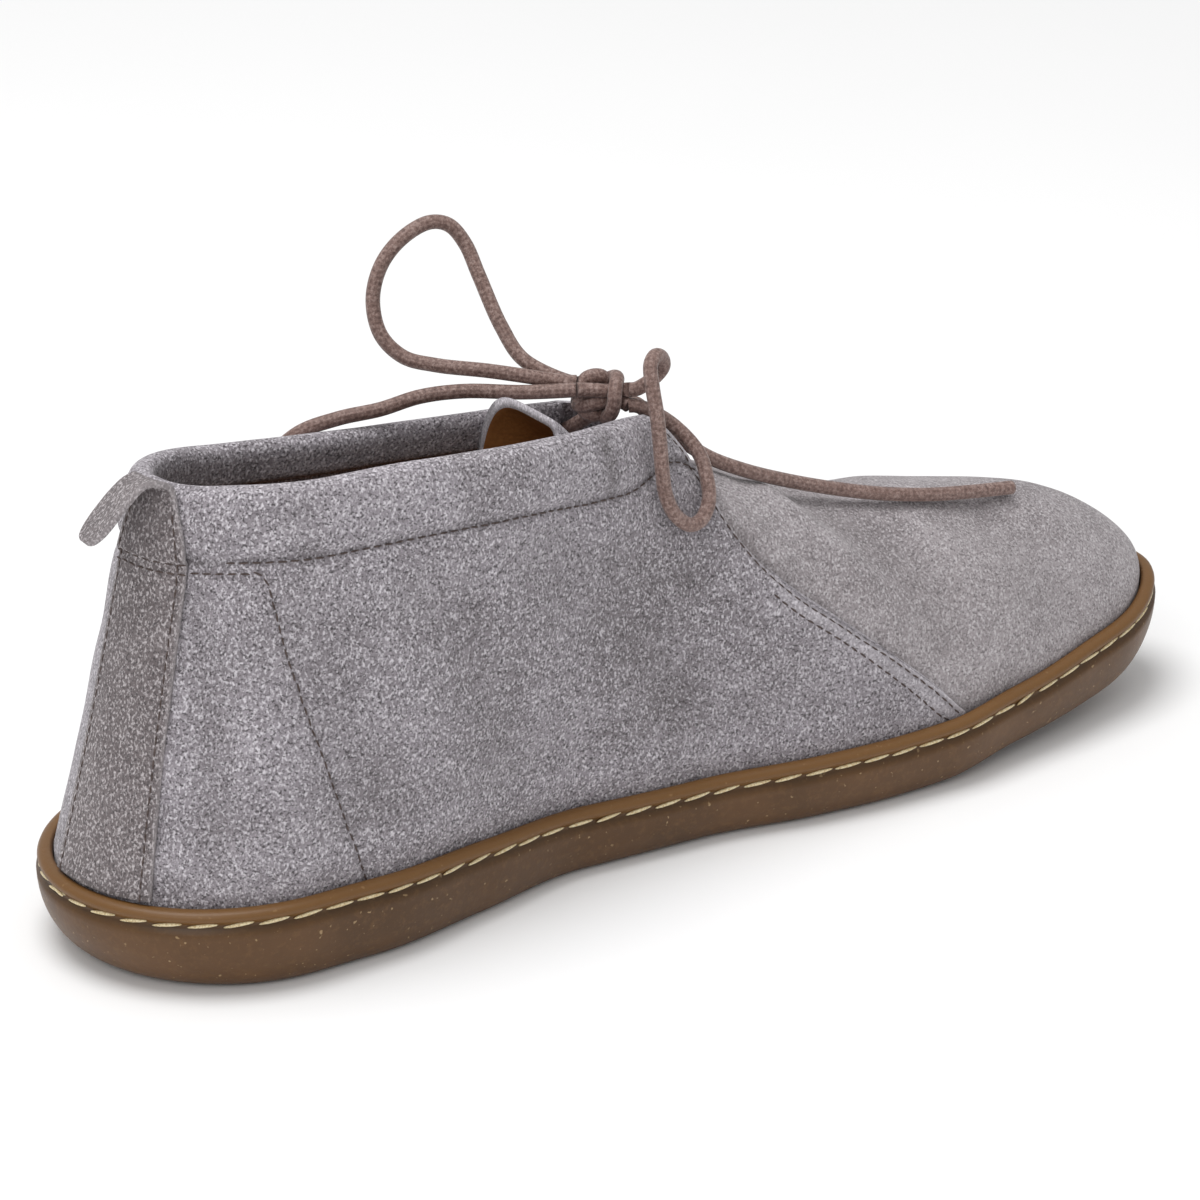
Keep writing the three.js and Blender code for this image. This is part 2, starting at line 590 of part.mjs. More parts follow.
function fromSolid(solid) {
  const mesh = solid.getMesh();
  const geometry = new THREE.BufferGeometry();
  geometry.setAttribute('position', new THREE.BufferAttribute(mesh.vertProperties, 3));
  geometry.setIndex(new THREE.BufferAttribute(mesh.triVerts, 1));
  return geometry;
}

// The lace runs hidden in the collar band and leaves its two front ends here
function mouth(outer) {
  const front = cornerShare(outer) + BAND_END;
  const middle = (at) => {
    const height = read(COLLAR, 'rise', at) * COLLAR_HEIGHT - lipHeight(at);
    return quarterPoint(turnAt(at, outer), 1 - (MOUTH_DROP * BAND) / height, MOUTH_INSET);
  };
  const place = middle(front);
  const forward = place.clone().sub(middle(front - CORNER_BACK)).normalize();
  return { place, forward };
}

const upperGeometry = () => fromSolid(toSolid(quarterGeometry()).add(toSolid(vampGeometry())));

// A round lace along hand-chosen points
function laceGeometry(points, steps) {
  const round = new THREE.Shape();
  for (let k = 0; k < 8; k += 1) {
    const angle = (2 * Math.PI * (k + 0.5)) / 8;
    const corner = [(Math.cos(angle) * LACE) / 2, (Math.sin(angle) * LACE) / 2];
    if (k === 0) round.moveTo(...corner);
    else round.lineTo(...corner);
  }
  round.closePath();
  const path = new THREE.CatmullRomCurve3(points.map((p) => new THREE.Vector3(...p)));
  return new THREE.ExtrudeGeometry(round, { steps, extrudePath: path, curveSegments: 1 });
}

// The knot: a barrel between the collar's front corners, with a waist. Laces leave its two flat ends.
const KNOT_PLACE = new THREE.Vector3(128.2, -1, 91.8);
const KNOT_AXIS = new THREE.Vector3(0.83, -0.56, 0).normalize();
const KNOT_SIDES = 16;
// along: share of half KNOT_LENGTH; wide: share of half KNOT
const KNOT_ROWS = [
  { along: -1, wide: 0.88 },
  { along: -0.65, wide: 1 },
  { along: -0.25, wide: 1 },
  { along: 0, wide: 0.9 },
  { along: 0.25, wide: 1 },
  { along: 0.65, wide: 1 },
  { along: 1, wide: 0.88 },
];

function knotGeometry() {
  const rows = KNOT_ROWS.map(({ along, wide }) => new THREE.Vector2((wide * KNOT) / 2, (along * KNOT_LENGTH) / 2));
  const profile = [new THREE.Vector2(0, -KNOT_LENGTH / 2), ...rows, new THREE.Vector2(0, KNOT_LENGTH / 2)];
  const barrel = new THREE.LatheGeometry(profile, KNOT_SIDES);
  barrel.applyQuaternion(new THREE.Quaternion().setFromUnitVectors(new THREE.Vector3(0, 1, 0), KNOT_AXIS));
  return barrel.translate(KNOT_PLACE.x, KNOT_PLACE.y, KNOT_PLACE.z);
}

// A place off the knot's end. side: 1 to the toe, -1 to the heel; level and depth: up and to the outer
// side of its axis, in laces; away: off the end in mm.
function knotEnd(side, level, depth, away = 0) {
  const reach = side * (KNOT_LENGTH / 2 + CLEARANCE + away);
  const across = new THREE.Vector3(-KNOT_AXIS.y, KNOT_AXIS.x, 0);
  const place = KNOT_PLACE.clone().addScaledVector(KNOT_AXIS, reach).addScaledVector(across, depth * LACE);
  return [place.x, place.y, place.z + level * LACE];
}

// The two short bars of lace from the band to the knot's side
const INNER_BAR = [[135.4, -9, 83.6], [134.4, -7.1, 84], [130.8, -6.6, 84.4], [128.4, -5.4, 86.4]];
const OUTER_BAR = [[127.4, 9.2, 82.2], [129, 7.2, 84], [129.9, 5, 85.9], [130.5, 2.8, 87.6]];

function barGeometry(outer) {
  const { place, forward } = mouth(outer);
  const start = place.addScaledVector(forward, CLEARANCE).toArray();
  return laceGeometry([start, ...(outer ? OUTER_BAR : INNER_BAR)], BAR_STEPS);
}

const group = new THREE.Group();
function addPiece(name, geometry, color, roughness) {
  const mesh = new THREE.Mesh(geometry, new THREE.MeshStandardMaterial({ color, roughness, metalness: 0 }));
  mesh.name = name;
  group.add(mesh);
  return mesh;
}

addPiece('outsole', ringGeometry(soleColumn), 0x7a5c3c, 0.6);
addPiece('insole', ringGeometry(insoleColumn), 0xa8743f, 0.7);
addPiece('upper', upperGeometry(), 0x96908f, 0.95);
addPiece('tongue', tongueGeometry(), 0xa29c9a, 0.95);
addPiece('heel_strip', stripGeometry(), 0x8f8886, 0.95);
addPiece('lace_bar_inner', barGeometry(false), 0x82645a, 0.7);
addPiece('lace_bar_outer', barGeometry(true), 0x82645a, 0.7);

// The bow. Each list is the middle of the lace, from the knot outwards.
const TALL_LOOP = [
  knotEnd(-1, 0.58, 1.1), knotEnd(-1, 0.62, 1.1, 1.6), [117.4, 11.8, 98], [116, 17.8, 103.6], [115.2, 24.7, 112.6],
  [114.2, 28.4, 118.8], [111.4, 30, 122.8], [107.4, 31, 123.8], [101.4, 32, 121.2], [96.4, 32, 116.4],
  [93.7, 31, 109.9], [93.6, 28, 103.3], [96.4, 24, 99.2], [101, 19, 98], [109, 11.4, 97.4],
  knotEnd(-1, 0.98, 0.18, 3), knotEnd(-1, 0.88, 0.1),
];
const LOW_LOOP = [
  knotEnd(1, 0.6, -0.4), knotEnd(1, 0.64, -0.4, 1.4), [135.6, -8.4, 96.4], [136.1, -11, 99.6], [134.4, -12.8, 102.5],
  [131.9, -14.2, 103.6], [130, -15.5, 102.4], [129.3, -17.2, 98.6], [129.2, -18.9, 93.4], [129.4, -19.8, 87],
  [129.4, -20.6, 81.6], [130, -21, 76.4], [131.8, -21.7, 72], [135.4, -21.8, 69], [138.8, -21, 69.2],
  [141.5, -19.6, 72], [142.7, -17.2, 76], [143.8, -12.4, 79.9], [140.8, -7.4, 85], knotEnd(1, -0.52, -0.5, 1.6),
  knotEnd(1, -0.5, -0.5),
];
const BACK_END = [
  knotEnd(-1, 0.86, -1.12), knotEnd(-1, 0.8, -1.1, 2.4), [113.4, 6.2, 93.5], [103.4, 12.2, 94], [94.7, 15, 93.8],
  [86.5, 17, 92.2], [78.3, 19.6, 91.2], [71, 23, 88.6], [66.5, 26.4, 83], [64, 29, 74.5], [62.5, 31, 65],
  [61.5, 32.6, 56],
];
const FRONT_END = [
  knotEnd(1, -0.75, 0.65), knotEnd(1, -0.8, 0.65, 1.4), [138.4, -2.8, 86], [142.4, -3.2, 82], [146.8, -4.8, 78.2],
  [151.4, -6.4, 74.8], [158.4, -8, 71.2], [167.4, -8.4, 67.3], [179.7, -8.8, 62.7], [191.2, -10.6, 59.4],
  [203, -12.4, 57], [214, -12.7, 55.2], [226.5, -12.1, 53.2],
];
addPiece('lace_knot', knotGeometry(), 0x7c5f55, 0.7);
addPiece('lace_loop_tall', laceGeometry(TALL_LOOP, 22), 0x82645a, 0.7);
addPiece('lace_loop_low', laceGeometry(LOW_LOOP, 22), 0x82645a, 0.7);
addPiece('lace_end_back', laceGeometry(BACK_END, 14), 0x82645a, 0.7);
addPiece('lace_end_front', laceGeometry(FRONT_END, 14), 0x82645a, 0.7);

// The origin is the middle of the sole's and upper's box, on the floor
const body = new THREE.Box3();
group.children.filter((mesh) => !mesh.name.startsWith('lace_')).forEach((mesh) => body.expandByObject(mesh));
const middle = body.getCenter(new THREE.Vector3());
group.position.set(-middle.x, -middle.y, -body.min.z);

export default group;
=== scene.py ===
# %% [markdown]
# # A grey suede ankle shoe
# The shoe stands empty on its sole: suede quarters and vamp on a moulded gum-rubber cup sole, and one
# round waxed lace tied in a bow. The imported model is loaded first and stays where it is. Each piece
# below either dresses one of its nodes with a material or stands for it with a finer mesh.

# %% Load the frame
import math
import bmesh
import bpy
import numpy as np
from mathutils import Matrix, Vector, noise
from mathutils.bvhtree import BVHTree


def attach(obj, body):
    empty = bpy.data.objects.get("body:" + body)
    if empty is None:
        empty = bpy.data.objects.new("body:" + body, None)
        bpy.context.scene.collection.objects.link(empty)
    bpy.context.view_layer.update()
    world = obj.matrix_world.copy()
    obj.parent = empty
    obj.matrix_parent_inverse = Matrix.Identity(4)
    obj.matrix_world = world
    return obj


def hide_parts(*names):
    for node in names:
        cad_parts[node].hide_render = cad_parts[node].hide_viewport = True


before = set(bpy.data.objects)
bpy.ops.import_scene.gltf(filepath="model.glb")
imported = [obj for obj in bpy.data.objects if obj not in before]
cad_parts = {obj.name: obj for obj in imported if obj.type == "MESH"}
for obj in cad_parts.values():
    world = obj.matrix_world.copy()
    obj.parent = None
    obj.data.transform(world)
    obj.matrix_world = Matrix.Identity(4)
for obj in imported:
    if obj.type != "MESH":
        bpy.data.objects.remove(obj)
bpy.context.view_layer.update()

# %% [markdown]
# The camera comes first, because the lace is judged by what the camera sees of it. It stands behind
# the heel on the inner side of the foot and looks a little down, with a long lens, so that the shoe is
# hardly foreshortened.

# %% Camera
EYE = Vector((-0.460836, -0.689404, 0.403298))
LOOKED_AT = Vector((-0.004176, -0.001585, 0.045013))
ROLL = math.radians(-0.26)


def add_camera():
    """A view with a 130 mm lens, tilted by a quarter of a degree."""
    data = bpy.data.cameras.new("camera")
    data.lens, data.sensor_width = 130.085, 36
    camera = bpy.data.objects.new("camera", data)
    turn = (LOOKED_AT - EYE).to_track_quat("-Z", "Y").to_matrix() @ Matrix.Rotation(ROLL, 3, "Z")
    camera.matrix_world = Matrix.Translation(EYE) @ turn.to_4x4()
    bpy.context.scene.collection.objects.link(camera)
    bpy.context.scene.camera = camera


add_camera()
print("distance to the shoe in metres:", round((LOOKED_AT - EYE).length, 3))

# %% [markdown]
# Sizes are kept in millimetres in the shoe's own frame, where x runs from the heel's back to the toe
# and z is the height over the floor. One function moves them to the model's frame in metres. A second
# turns a list of points and faces into a clean mesh: it merges doubles and makes the faces look out.

# %% Tools for meshes
FROM_HEEL = np.array([-134.0, -4.382772, 0.0])


def metres(points):
    return (np.asarray(points, float) + FROM_HEEL) / 1000


def make_piece(name, points, faces, materials, kinds=None, marks=None):
    """A closed, smooth mesh that rides on the shoe. kinds: material of each face; marks: values by name."""
    mesh = bpy.data.meshes.new(name)
    mesh.from_pydata(metres(points).tolist(), [], faces)
    for key, values in (marks or {}).items():
        layer = mesh.attributes.new(key, "FLOAT", "POINT")
        layer.data.foreach_set("value", np.asarray(values, np.float32))
    if kinds is not None:
        mesh.polygons.foreach_set("material_index", np.asarray(kinds, np.int32))
    work = bmesh.new()
    work.from_mesh(mesh)
    bmesh.ops.remove_doubles(work, verts=work.verts, dist=2e-6)
    bmesh.ops.recalc_face_normals(work, faces=work.faces)
    work.to_mesh(mesh)
    work.free()
    mesh.polygons.foreach_set("use_smooth", [True] * len(mesh.polygons))
    for item in materials:
        mesh.materials.append(item)
    piece = bpy.data.objects.new(name, mesh)
    bpy.context.scene.collection.objects.link(piece)
    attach(piece, "root")
    return piece


# %% [markdown]
# Every material is built from nodes. One small function adds a node, sets its properties and fills its
# inputs with values or with links, and one turns a screen colour into the linear light that a shader
# works in. Pattern scales are given as real sizes in millimetres.

# %% Tools for materials
def colour(text):
    """A screen colour such as 96908f as linear red, green, blue and alpha."""
    parts = [int(text[k : k + 2], 16) / 255 for k in (0, 2, 4)]
    return [c / 12.92 if c <= 0.04045 else ((c + 0.055) / 1.055) ** 2.4 for c in parts] + [1]


def add(tree, kind, inputs=(), **settings):
    """Adds one node with its settings, and fills its inputs with values or links."""
    made = tree.nodes.new(kind)
    for key, value in settings.items():
        setattr(made, key, value)
    for key, value in dict(inputs).items():
        if isinstance(value, bpy.types.NodeSocket):
            tree.links.new(value, made.inputs[key])
        else:
            made.inputs[key].default_value = value
    return made


def new_material(name, **values):
    """A material with one principled shader, whose plain values are set on its own sockets."""
    made = bpy.data.materials.new(name)
    made.use_nodes = True
    made.node_tree.nodes.clear()
    shader = add(made.node_tree, "ShaderNodeBsdfPrincipled", {k.replace("_", " "): v for k, v in values.items()})
    add(made.node_tree, "ShaderNodeOutputMaterial", {"Surface": shader.outputs[0]})
    return made, made.node_tree, shader


def grain(tree, size_mm, detail=2, rough=0.5, stretch=(1, 1, 1), turn=(0, 0, 0), at=None):
    """Noise whose blotches are about size_mm across, on the piece's own coordinates."""
    place = at or add(tree, "ShaderNodeTexCoord").outputs["Object"]
    mapped = add(tree, "ShaderNodeMapping", {0: place, 2: turn, 3: stretch}).outputs[0]
    made = add(tree, "ShaderNodeTexNoise", {0: mapped, "Scale": 1000 / size_mm, "Detail": detail, "Roughness": rough})
    return made.outputs["Fac"]


def spread(tree, value, low, high, to_low=0.0, to_high=1.0):
    """Stretches a value from low..high to another range, clipped."""
    return add(tree, "ShaderNodeMapRange", {0: value, 1: low, 2: high, 3: to_low, 4: to_high}).outputs[0]


def blend_colour(tree, share, first, second, mode="MIX"):
    made = add(tree, "ShaderNodeMix", {0: share, 6: first, 7: second}, data_type="RGBA", blend_type=mode)
    return made.outputs[2]


def bumps(tree, shader, height, depth_mm, after=None):
    inputs = {"Height": height, "Distance": depth_mm / 1000, "Strength": 1.0}
    if after:
        inputs["Normal"] = after
    made = add(tree, "ShaderNodeBump", inputs).outputs[0]
    tree.links.new(made, shader.inputs["Normal"])
    return made


# %% [markdown]
# The lace is a round cord braided from waxed cotton. Wax leaves a soft, dull shine. The valleys of the
# braid are painted darker as shade, and lighter flecks are painted on as sheen. The braid is drawn along
# the cord's own map: u is the length in metres and v goes once around, so two sets of slanted waves
# cross and leave small raised lozenges.

# %% Waxed braided cotton
BRAID_PITCH = 0.0024
BRAID_STRANDS = 5


def waxed_braid(name, body, valley, sheen):
    made, tree, shader = new_material(name, Roughness=0.55, Specular_IOR_Level=0.35, Sheen_Weight=0.15)
    split = add(tree, "ShaderNodeSeparateXYZ", {0: add(tree, "ShaderNodeUVMap", uv_map="along").outputs[0]}).outputs
    waves = []
    for way in (1, -1):
        along = add(tree, "ShaderNodeMath", {0: split[0], 1: 2 * math.pi / BRAID_PITCH}, operation="MULTIPLY").outputs[0]
        around = {0: split[1], 1: way * 2 * math.pi * BRAID_STRANDS, 2: along}
        angle = add(tree, "ShaderNodeMath", around, operation="MULTIPLY_ADD").outputs[0]
        waves.append(add(tree, "ShaderNodeMath", {0: angle}, operation="SINE").outputs[0])
    lozenge = add(tree, "ShaderNodeMath", {0: waves[0], 1: waves[1]}, operation="MULTIPLY").outputs[0]
    height = spread(tree, lozenge, -0.7, 0.6)
    fibres = grain(tree, 0.8, detail=3, rough=0.8)
    patches = grain(tree, 9, detail=2)
    # Painted shade: the braid's valleys take the darker valley colour.
    tone = blend_colour(tree, spread(tree, height, 0, 0.8), colour(valley), colour(body))
    # Painted sheen: lighter flecks where the fibre noise is high.
    tone = blend_colour(tree, spread(tree, fibres, 0.48, 0.66, 0, 0.75), tone, colour(sheen))
    tone = blend_colour(tree, spread(tree, fibres, 0.46, 0.34, 0, 0.7), tone, colour("4c3a36"))
    tone = blend_colour(tree, spread(tree, patches, 0.4, 0.7, 0, 0.3), tone, colour(valley))
    tree.links.new(tone, shader.inputs["Base Color"])
    bumps(tree, shader, fibres, 0.12, bumps(tree, shader, height, 0.07))
    return made


WAXED_LACE = waxed_braid("waxed_braided_cotton_lace", "80675f", "6c544d", "ad9790")
print("braid pitch in mm:", BRAID_PITCH * 1000)

# %% [markdown]
# The bow is made of four free stretches of one lace: two loops and two ends. Each follows a few listed
# points, which are the same as in the model. A smooth curve goes through them, and a tube is drawn
# around it with frames that turn as little as possible, so that the braid isn't twisted.

# %% The lace's route
LACE = 3.0
KNOT_PLACE = np.array([128.2, -1, 91.8])
KNOT_AXIS = np.array([0.83, -0.56, 0]) / math.hypot(0.83, 0.56)
KNOT_ACROSS = np.array([-KNOT_AXIS[1], KNOT_AXIS[0], 0])
KNOT_HALF = 5.3


def off_knot(side, level, depth, away=0):
    """A place off the knot's end: side 1 to the toe, level and depth in laces, away in mm."""
    place = KNOT_PLACE + KNOT_AXIS * side * (KNOT_HALF + away) + KNOT_ACROSS * depth * LACE
    return [place[0], place[1], place[2] + level * LACE]


TALL_LOOP = [
    off_knot(-1, 0.58, 1.1), off_knot(-1, 0.62, 1.1, 1.6), [117.4, 11.8, 98], [116, 17.8, 103.6],
    [115.2, 24.7, 112.6], [114.2, 28.4, 118.8], [111.4, 30, 122.8], [107.4, 31, 123.8], [101.4, 32, 121.2],
    [96.4, 32, 116.4], [93.7, 31, 109.9], [93.6, 28, 103.3], [96.4, 24, 99.2], [101, 19, 98], [109, 11.4, 97.4],
    off_knot(-1, 0.98, 0.18, 3), off_knot(-1, 0.88, 0.1),
]
LOW_LOOP = [
    off_knot(1, 0.6, -0.4), off_knot(1, 0.64, -0.4, 1.4), [135.6, -8.4, 96.4], [136.1, -11, 99.6],
    [134.4, -12.8, 102.5], [131.9, -14.2, 103.6], [130, -15.5, 102.4], [129.3, -17.2, 98.6], [129.2, -18.9, 93.4],
    [129.4, -19.8, 87], [129.4, -20.6, 81.6], [130, -21, 76.4], [131.8, -21.7, 72], [135.4, -21.8, 69],
    [138.8, -21, 69.2], [141.5, -19.6, 72], [142.7, -17.2, 76], [143.8, -12.4, 79.9], [140.8, -7.4, 85],
    off_knot(1, -0.52, -0.5, 1.6), off_knot(1, -0.5, -0.5),
]
BACK_END = [
    off_knot(-1, 0.86, -1.12), off_knot(-1, 0.8, -1.1, 2.4), [113.4, 6.2, 93.5], [103.4, 12.2, 94], [94.7, 15, 93.8],
    [86.5, 17, 92.2], [78.3, 19.6, 91.2], [71, 23, 88.6], [66.5, 26.4, 83], [64, 29, 74.5], [62.5, 31, 65],
    [61.5, 32.6, 56],
]
FRONT_END = [
    off_knot(1, -0.75, 0.65), off_knot(1, -0.8, 0.65, 1.4), [138.4, -2.8, 86], [142.4, -3.2, 82],
    [146.8, -4.8, 78.2], [151.4, -6.4, 74.8], [158.4, -8, 71.2], [167.4, -8.4, 67.3], [179.7, -8.8, 62.7],
    [191.2, -10.6, 59.4], [203, -12.4, 57], [214, -12.7, 55.2], [226.5, -12.1, 53.2],
]


def smooth_route(points, step=0.6):
    """Points every step mm on a centripetal Catmull-Rom curve, the kind that the model's lace follows."""
    p = np.asarray(points, float)
    p = np.vstack([2 * p[0] - p[1], p, 2 * p[-1] - p[-2]])
    fine = []
    for k in range(1, len(p) - 2):
        gaps = [max(np.linalg.norm(p[k + j] - p[k + j - 1]) ** 0.5, 1e-4) for j in range(3)]
        t = np.cumsum([0] + gaps)
        for u in np.linspace(t[1], t[2], 24, endpoint=False):
            a = [(p[k - 1 + j] * (t[j + 1] - u) + p[k + j] * (u - t[j])) / (t[j + 1] - t[j]) for j in range(3)]
            b = [(a[j] * (t[j + 2] - u) + a[j + 1] * (u - t[j])) / (t[j + 2] - t[j]) for j in range(2)]
            fine.append((b[0] * (t[2] - u) + b[1] * (u - t[1])) / (t[2] - t[1]))
    return even_route(np.array(fine + [p[-2]]), step)


def even_route(points, step):
    """The same line with points at even distances."""
    points = np.asarray(points, float)
    far = np.concatenate([[0], np.cumsum(np.linalg.norm(np.diff(points, axis=0), axis=1))])
    places = np.linspace(0, far[-1], max(2, round(far[-1] / step) + 1))
    return np.column_stack([np.interp(places, far, points[:, k]) for k in range(3)])


# %% A tube around a route
AROUND = 20


def tube_mesh(route, radius, closed_end=True):
    """Points, faces and the map of a round tube; frames are carried along without twist."""
    along = np.gradient(route, axis=0)
    along /= np.linalg.norm(along, axis=1)[:, None]
    side = np.cross(along[0], [0.3, 0.5, 0.81])
    points = []
    for k, (place, way) in enumerate(zip(route, along)):
        side = side - way * side.dot(way)
        side /= np.linalg.norm(side)
        up = np.cross(way, side)
        angles = np.arange(AROUND) * 2 * math.pi / AROUND
        reach = radius[k] if np.ndim(radius) else radius
        points.append(place + reach * (np.cos(angles)[:, None] * side + np.sin(angles)[:, None] * up))
    points = np.concatenate(points)
    rings = len(route)
    faces = [
        (r * AROUND + k, r * AROUND + (k + 1) % AROUND, (r + 1) * AROUND + (k + 1) % AROUND, (r + 1) * AROUND + k)
        for r in range(rings - 1)
        for k in range(AROUND)
    ]
    far = np.concatenate([[0], np.cumsum(np.linalg.norm(np.diff(route, axis=0), axis=1))]) / 1000
    faces.append(tuple(reversed(range(AROUND))))
    faces.append(tuple((rings - 1) * AROUND + k for k in range(AROUND)))
    return points, faces, far


def lace_piece(name, routes):
    """One mesh of one or more round laces, with their map for the braid."""
    points, faces, maps = [], [], []
    for route in routes:
        p, f, far = tube_mesh(route, LACE / 2)
        start = sum(map(len, points))
        faces += [tuple(start + k for k in face) for face in f]
        for face in f[:-2]:
            ring, k = divmod(face[0], AROUND)
            v = k / AROUND
            w = (k + 1) / AROUND
            maps += [(far[ring], v), (far[ring], w), (far[ring + 1], w), (far[ring + 1], v)]
        maps += [(0, 0)] * AROUND + [(far[-1], 0)] * AROUND
        points.append(p)
    mesh = bpy.data.meshes.new(name)
    mesh.from_pydata(metres(np.concatenate(points)).tolist(), [], faces)
    mesh.uv_layers.new(name="along").data.foreach_set("uv", np.array(maps, float).ravel())
    mesh.polygons.foreach_set("use_smooth", [len(face) == 4 for face in faces])
    mesh.materials.append(WAXED_LACE)
    piece = bpy.data.objects.new(name, mesh)
    bpy.context.scene.collection.objects.link(piece)
    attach(piece, "root")
    return piece


# %% Tie the loops and the ends
def tie(name, points):
    route = smooth_route(points)
    piece = lace_piece(name, [route])
    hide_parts(name.replace("_cord", ""))
    return piece


tie("lace_loop_tall_cord", TALL_LOOP)
tie("lace_loop_low_cord", LOW_LOOP)
tie("lace_end_back_cord", BACK_END)
tie("lace_end_front_cord", FRONT_END)

# %% [markdown]
# The shoe's skin is a set of smooth rules rather than a scan: tables give the outline, the collar, the
# centre ridge and the front seam at a few places, and a curve that never overshoots reads between
# them. They are the model's own tables, so the fine skins lie exactly where its solids are.

# %% Tables of the last's shape
LENGTH, HEEL_WIDTH, BALL_WIDTH, TOE_LEAN, TOE_SPRING = 268, 73, 88, 7, 11
SIDE_HEIGHT, SIDE_TUCK, LIP_RISE, CUP_WALL, CUP_FLOOR, CLEARANCE = 16, 7, 2.6, 3.4, 6.5, 0.3
COLLAR_HEIGHT, INSTEP_HEIGHT, QUARTER, VAMP, SEAM_SINK, SIDE_SWELL = 98, 84, 2, 2, 0.6, 3
BAND, BAND_PUFF, OUTER_DROP, TONGUE, STRIP, STRIP_WIDTH, STRIP_SHIFT = 13.5, 0.9, 8, 2, 1.3, 23, 8.5
TAB_REACH, TAB_FALL, TAB_WIDTH, TAB_TURN, TAB_SLANT = 15.2, 8.2, 11, 0.18, 0.15
HEEL_CAP, TOE_CAP = 0.15, 0.28


def table(names, *rows):
    return dict(zip(names.split(), np.array(rows, float).T))


OUTLINE = table(
    "at inner outer low edge tuck floor",
    (0.0, 0.505, 0.486, 0, 1.0, 1.5, 1), (0.12, 0.505, 0.486, 0, 1.0, 1.0, 1), (0.2, 0.5, 0.494, 0, 0.98, 0.9, 1),
    (0.3, 0.418, 0.489, 0, 0.9, 0.8, 0.95), (0.4, 0.332, 0.49, 0, 0.79, 0.8, 0.85),
    (0.5, 0.332, 0.511, 0, 0.755, 0.85, 0.77), (0.6, 0.375, 0.551, 0, 0.77, 0.85, 0.75),
    (0.66, 0.39, 0.568, 0, 0.78, 0.85, 0.75), (0.72, 0.392, 0.56, 0.05, 0.78, 0.85, 0.75),
    (0.8, 0.365, 0.528, 0.25, 0.77, 0.85, 0.75), (0.88, 0.36, 0.511, 0.4, 0.86, 0.87, 0.75),
    (0.94, 0.38, 0.5, 0.56, 0.9, 1.0, 0.75), (1.0, 0.39, 0.48, 1.0, 0.86, 1.15, 0.75),
)
COLLAR = table(
    "at reach inner outer rise drop swell",
    (0.0, 0.0875, 0.33, 0.28, 0.992, 0.05, -0.15), (0.06, 0.132, 0.33, 0.28, 1.004, 0.42, 0.3),
    (0.15, 0.2, 0.33, 0.28, 1.0, 0.8, 0.9), (0.3, 0.315, 0.335, 0.28, 0.985, 1, 1.1),
    (0.4, 0.4, 0.275, 0.26, 0.955, 0.8, 1.2), (0.5, 0.49, 0.165, 0.16, 0.92, 0.35, 1.2),
    (0.6, 0.575, 0.08, 0.09, 0.8, 0, 1.2),
)
RIDGE = table(
    "at rise shift",
    (0.34, 1.27, 0.13), (0.4, 1.186, 0.135), (0.44, 1.08, 0.06), (0.475, 1.01, 0.045), (0.51, 0.955, 0.045),
    (0.56, 0.885, 0.04), (0.64, 0.77, 0.035), (0.71, 0.695, 0.03), (0.79, 0.65, 0.02), (0.87, 0.61, 0.01),
    (0.94, 0.57, 0), (1.0, 0.52, 0),
)
ARCH = table(
    "at reach inner outer",
    (0.3, 0.34, 0.8, 0.8), (0.4, 0.4, 0.85, 0.8), (0.5, 0.485, 0.9, 0.8), (0.6, 0.575, 0.95, 0.85),
    (0.7, 0.66, 1.0, 0.9), (0.8, 0.74, 1.0, 0.95), (0.9, 0.81, 1.05, 1.05), (1.0, 0.85, 1.1, 1.1),
)
SEAM = table(
    "at up",
    (0.506, 0.997), (0.525, 0.985), (0.542, 0.95), (0.55, 0.88), (0.56, 0.805), (0.575, 0.725), (0.596, 0.655),
    (0.627, 0.565), (0.662, 0.44), (0.7, 0.255), (0.74, 0),
)
GATHER = table(
    "at wide full",
    (0, 0.76, 0.5), (0.16, 0.62, 0.58), (0.36, 0.53, 0.7), (0.68, 0.72, 0.84), (1, 1, 1),
)
CORNER, CORNER_BACK, BAND_END, SETTLE = 0.5, 0.03, 0.006, 0.1
THROAT, SEAM_LAP, TONGUE_TOP, TONGUE_ROOT, TONGUE_EDGE = 0.525, 0.045, 0.402, 0.585, 0.66
print("rows in the outline's table:", len(OUTLINE["at"]))

# %% Rules of the last's shape
def ease(low, high, value):
    share = np.clip((value - low) / (high - low), 0, 1)
    return share * share * (3 - 2 * share)


def read(rows, column, at):
    """Reads a column of a table at any share, smoothly and without overshoot."""
    x, y = rows["at"], rows[column]
    step = np.diff(y) / np.diff(x)
    before, after = step[:-1], step[1:]
    same = before * after > 0
    inner = np.where(same, 2 * before * after / np.where(same, before + after, 1), 0)
    slope = np.concatenate([[step[0]], inner, [step[-1]]])
    at = np.clip(at, x[0], x[-1])
    row = np.clip(np.searchsorted(x, at) - 1, 0, len(x) - 2)
    span = x[row + 1] - x[row]
    u = (at - x[row]) / span
    ends = y[row] * (1 + 2 * u) * (1 - u) ** 2 + y[row + 1] * u * u * (3 - 2 * u)
    return ends + span * slope[row] * u * (1 - u) ** 2 - span * slope[row + 1] * u * u * (1 - u)


def share_at(turn):
    return (1 - np.cos(2 * math.pi * turn)) / 2


def turn_at(share, outer):
    turn = math.acos(1 - 2 * min(max(share, 0), 1)) / (2 * math.pi)
    return 1 - turn if outer else turn


def centre_line(at):
    return -TOE_LEAN * at * at


def end_cap(at):
    heel = max(0, 1 - at / HEEL_CAP)
    toe = max(0, 1 - (1 - at) / TOE_CAP)
    return math.sqrt(max(0, 1 - heel * heel)) * math.sqrt(max(0, 1 - toe * toe))


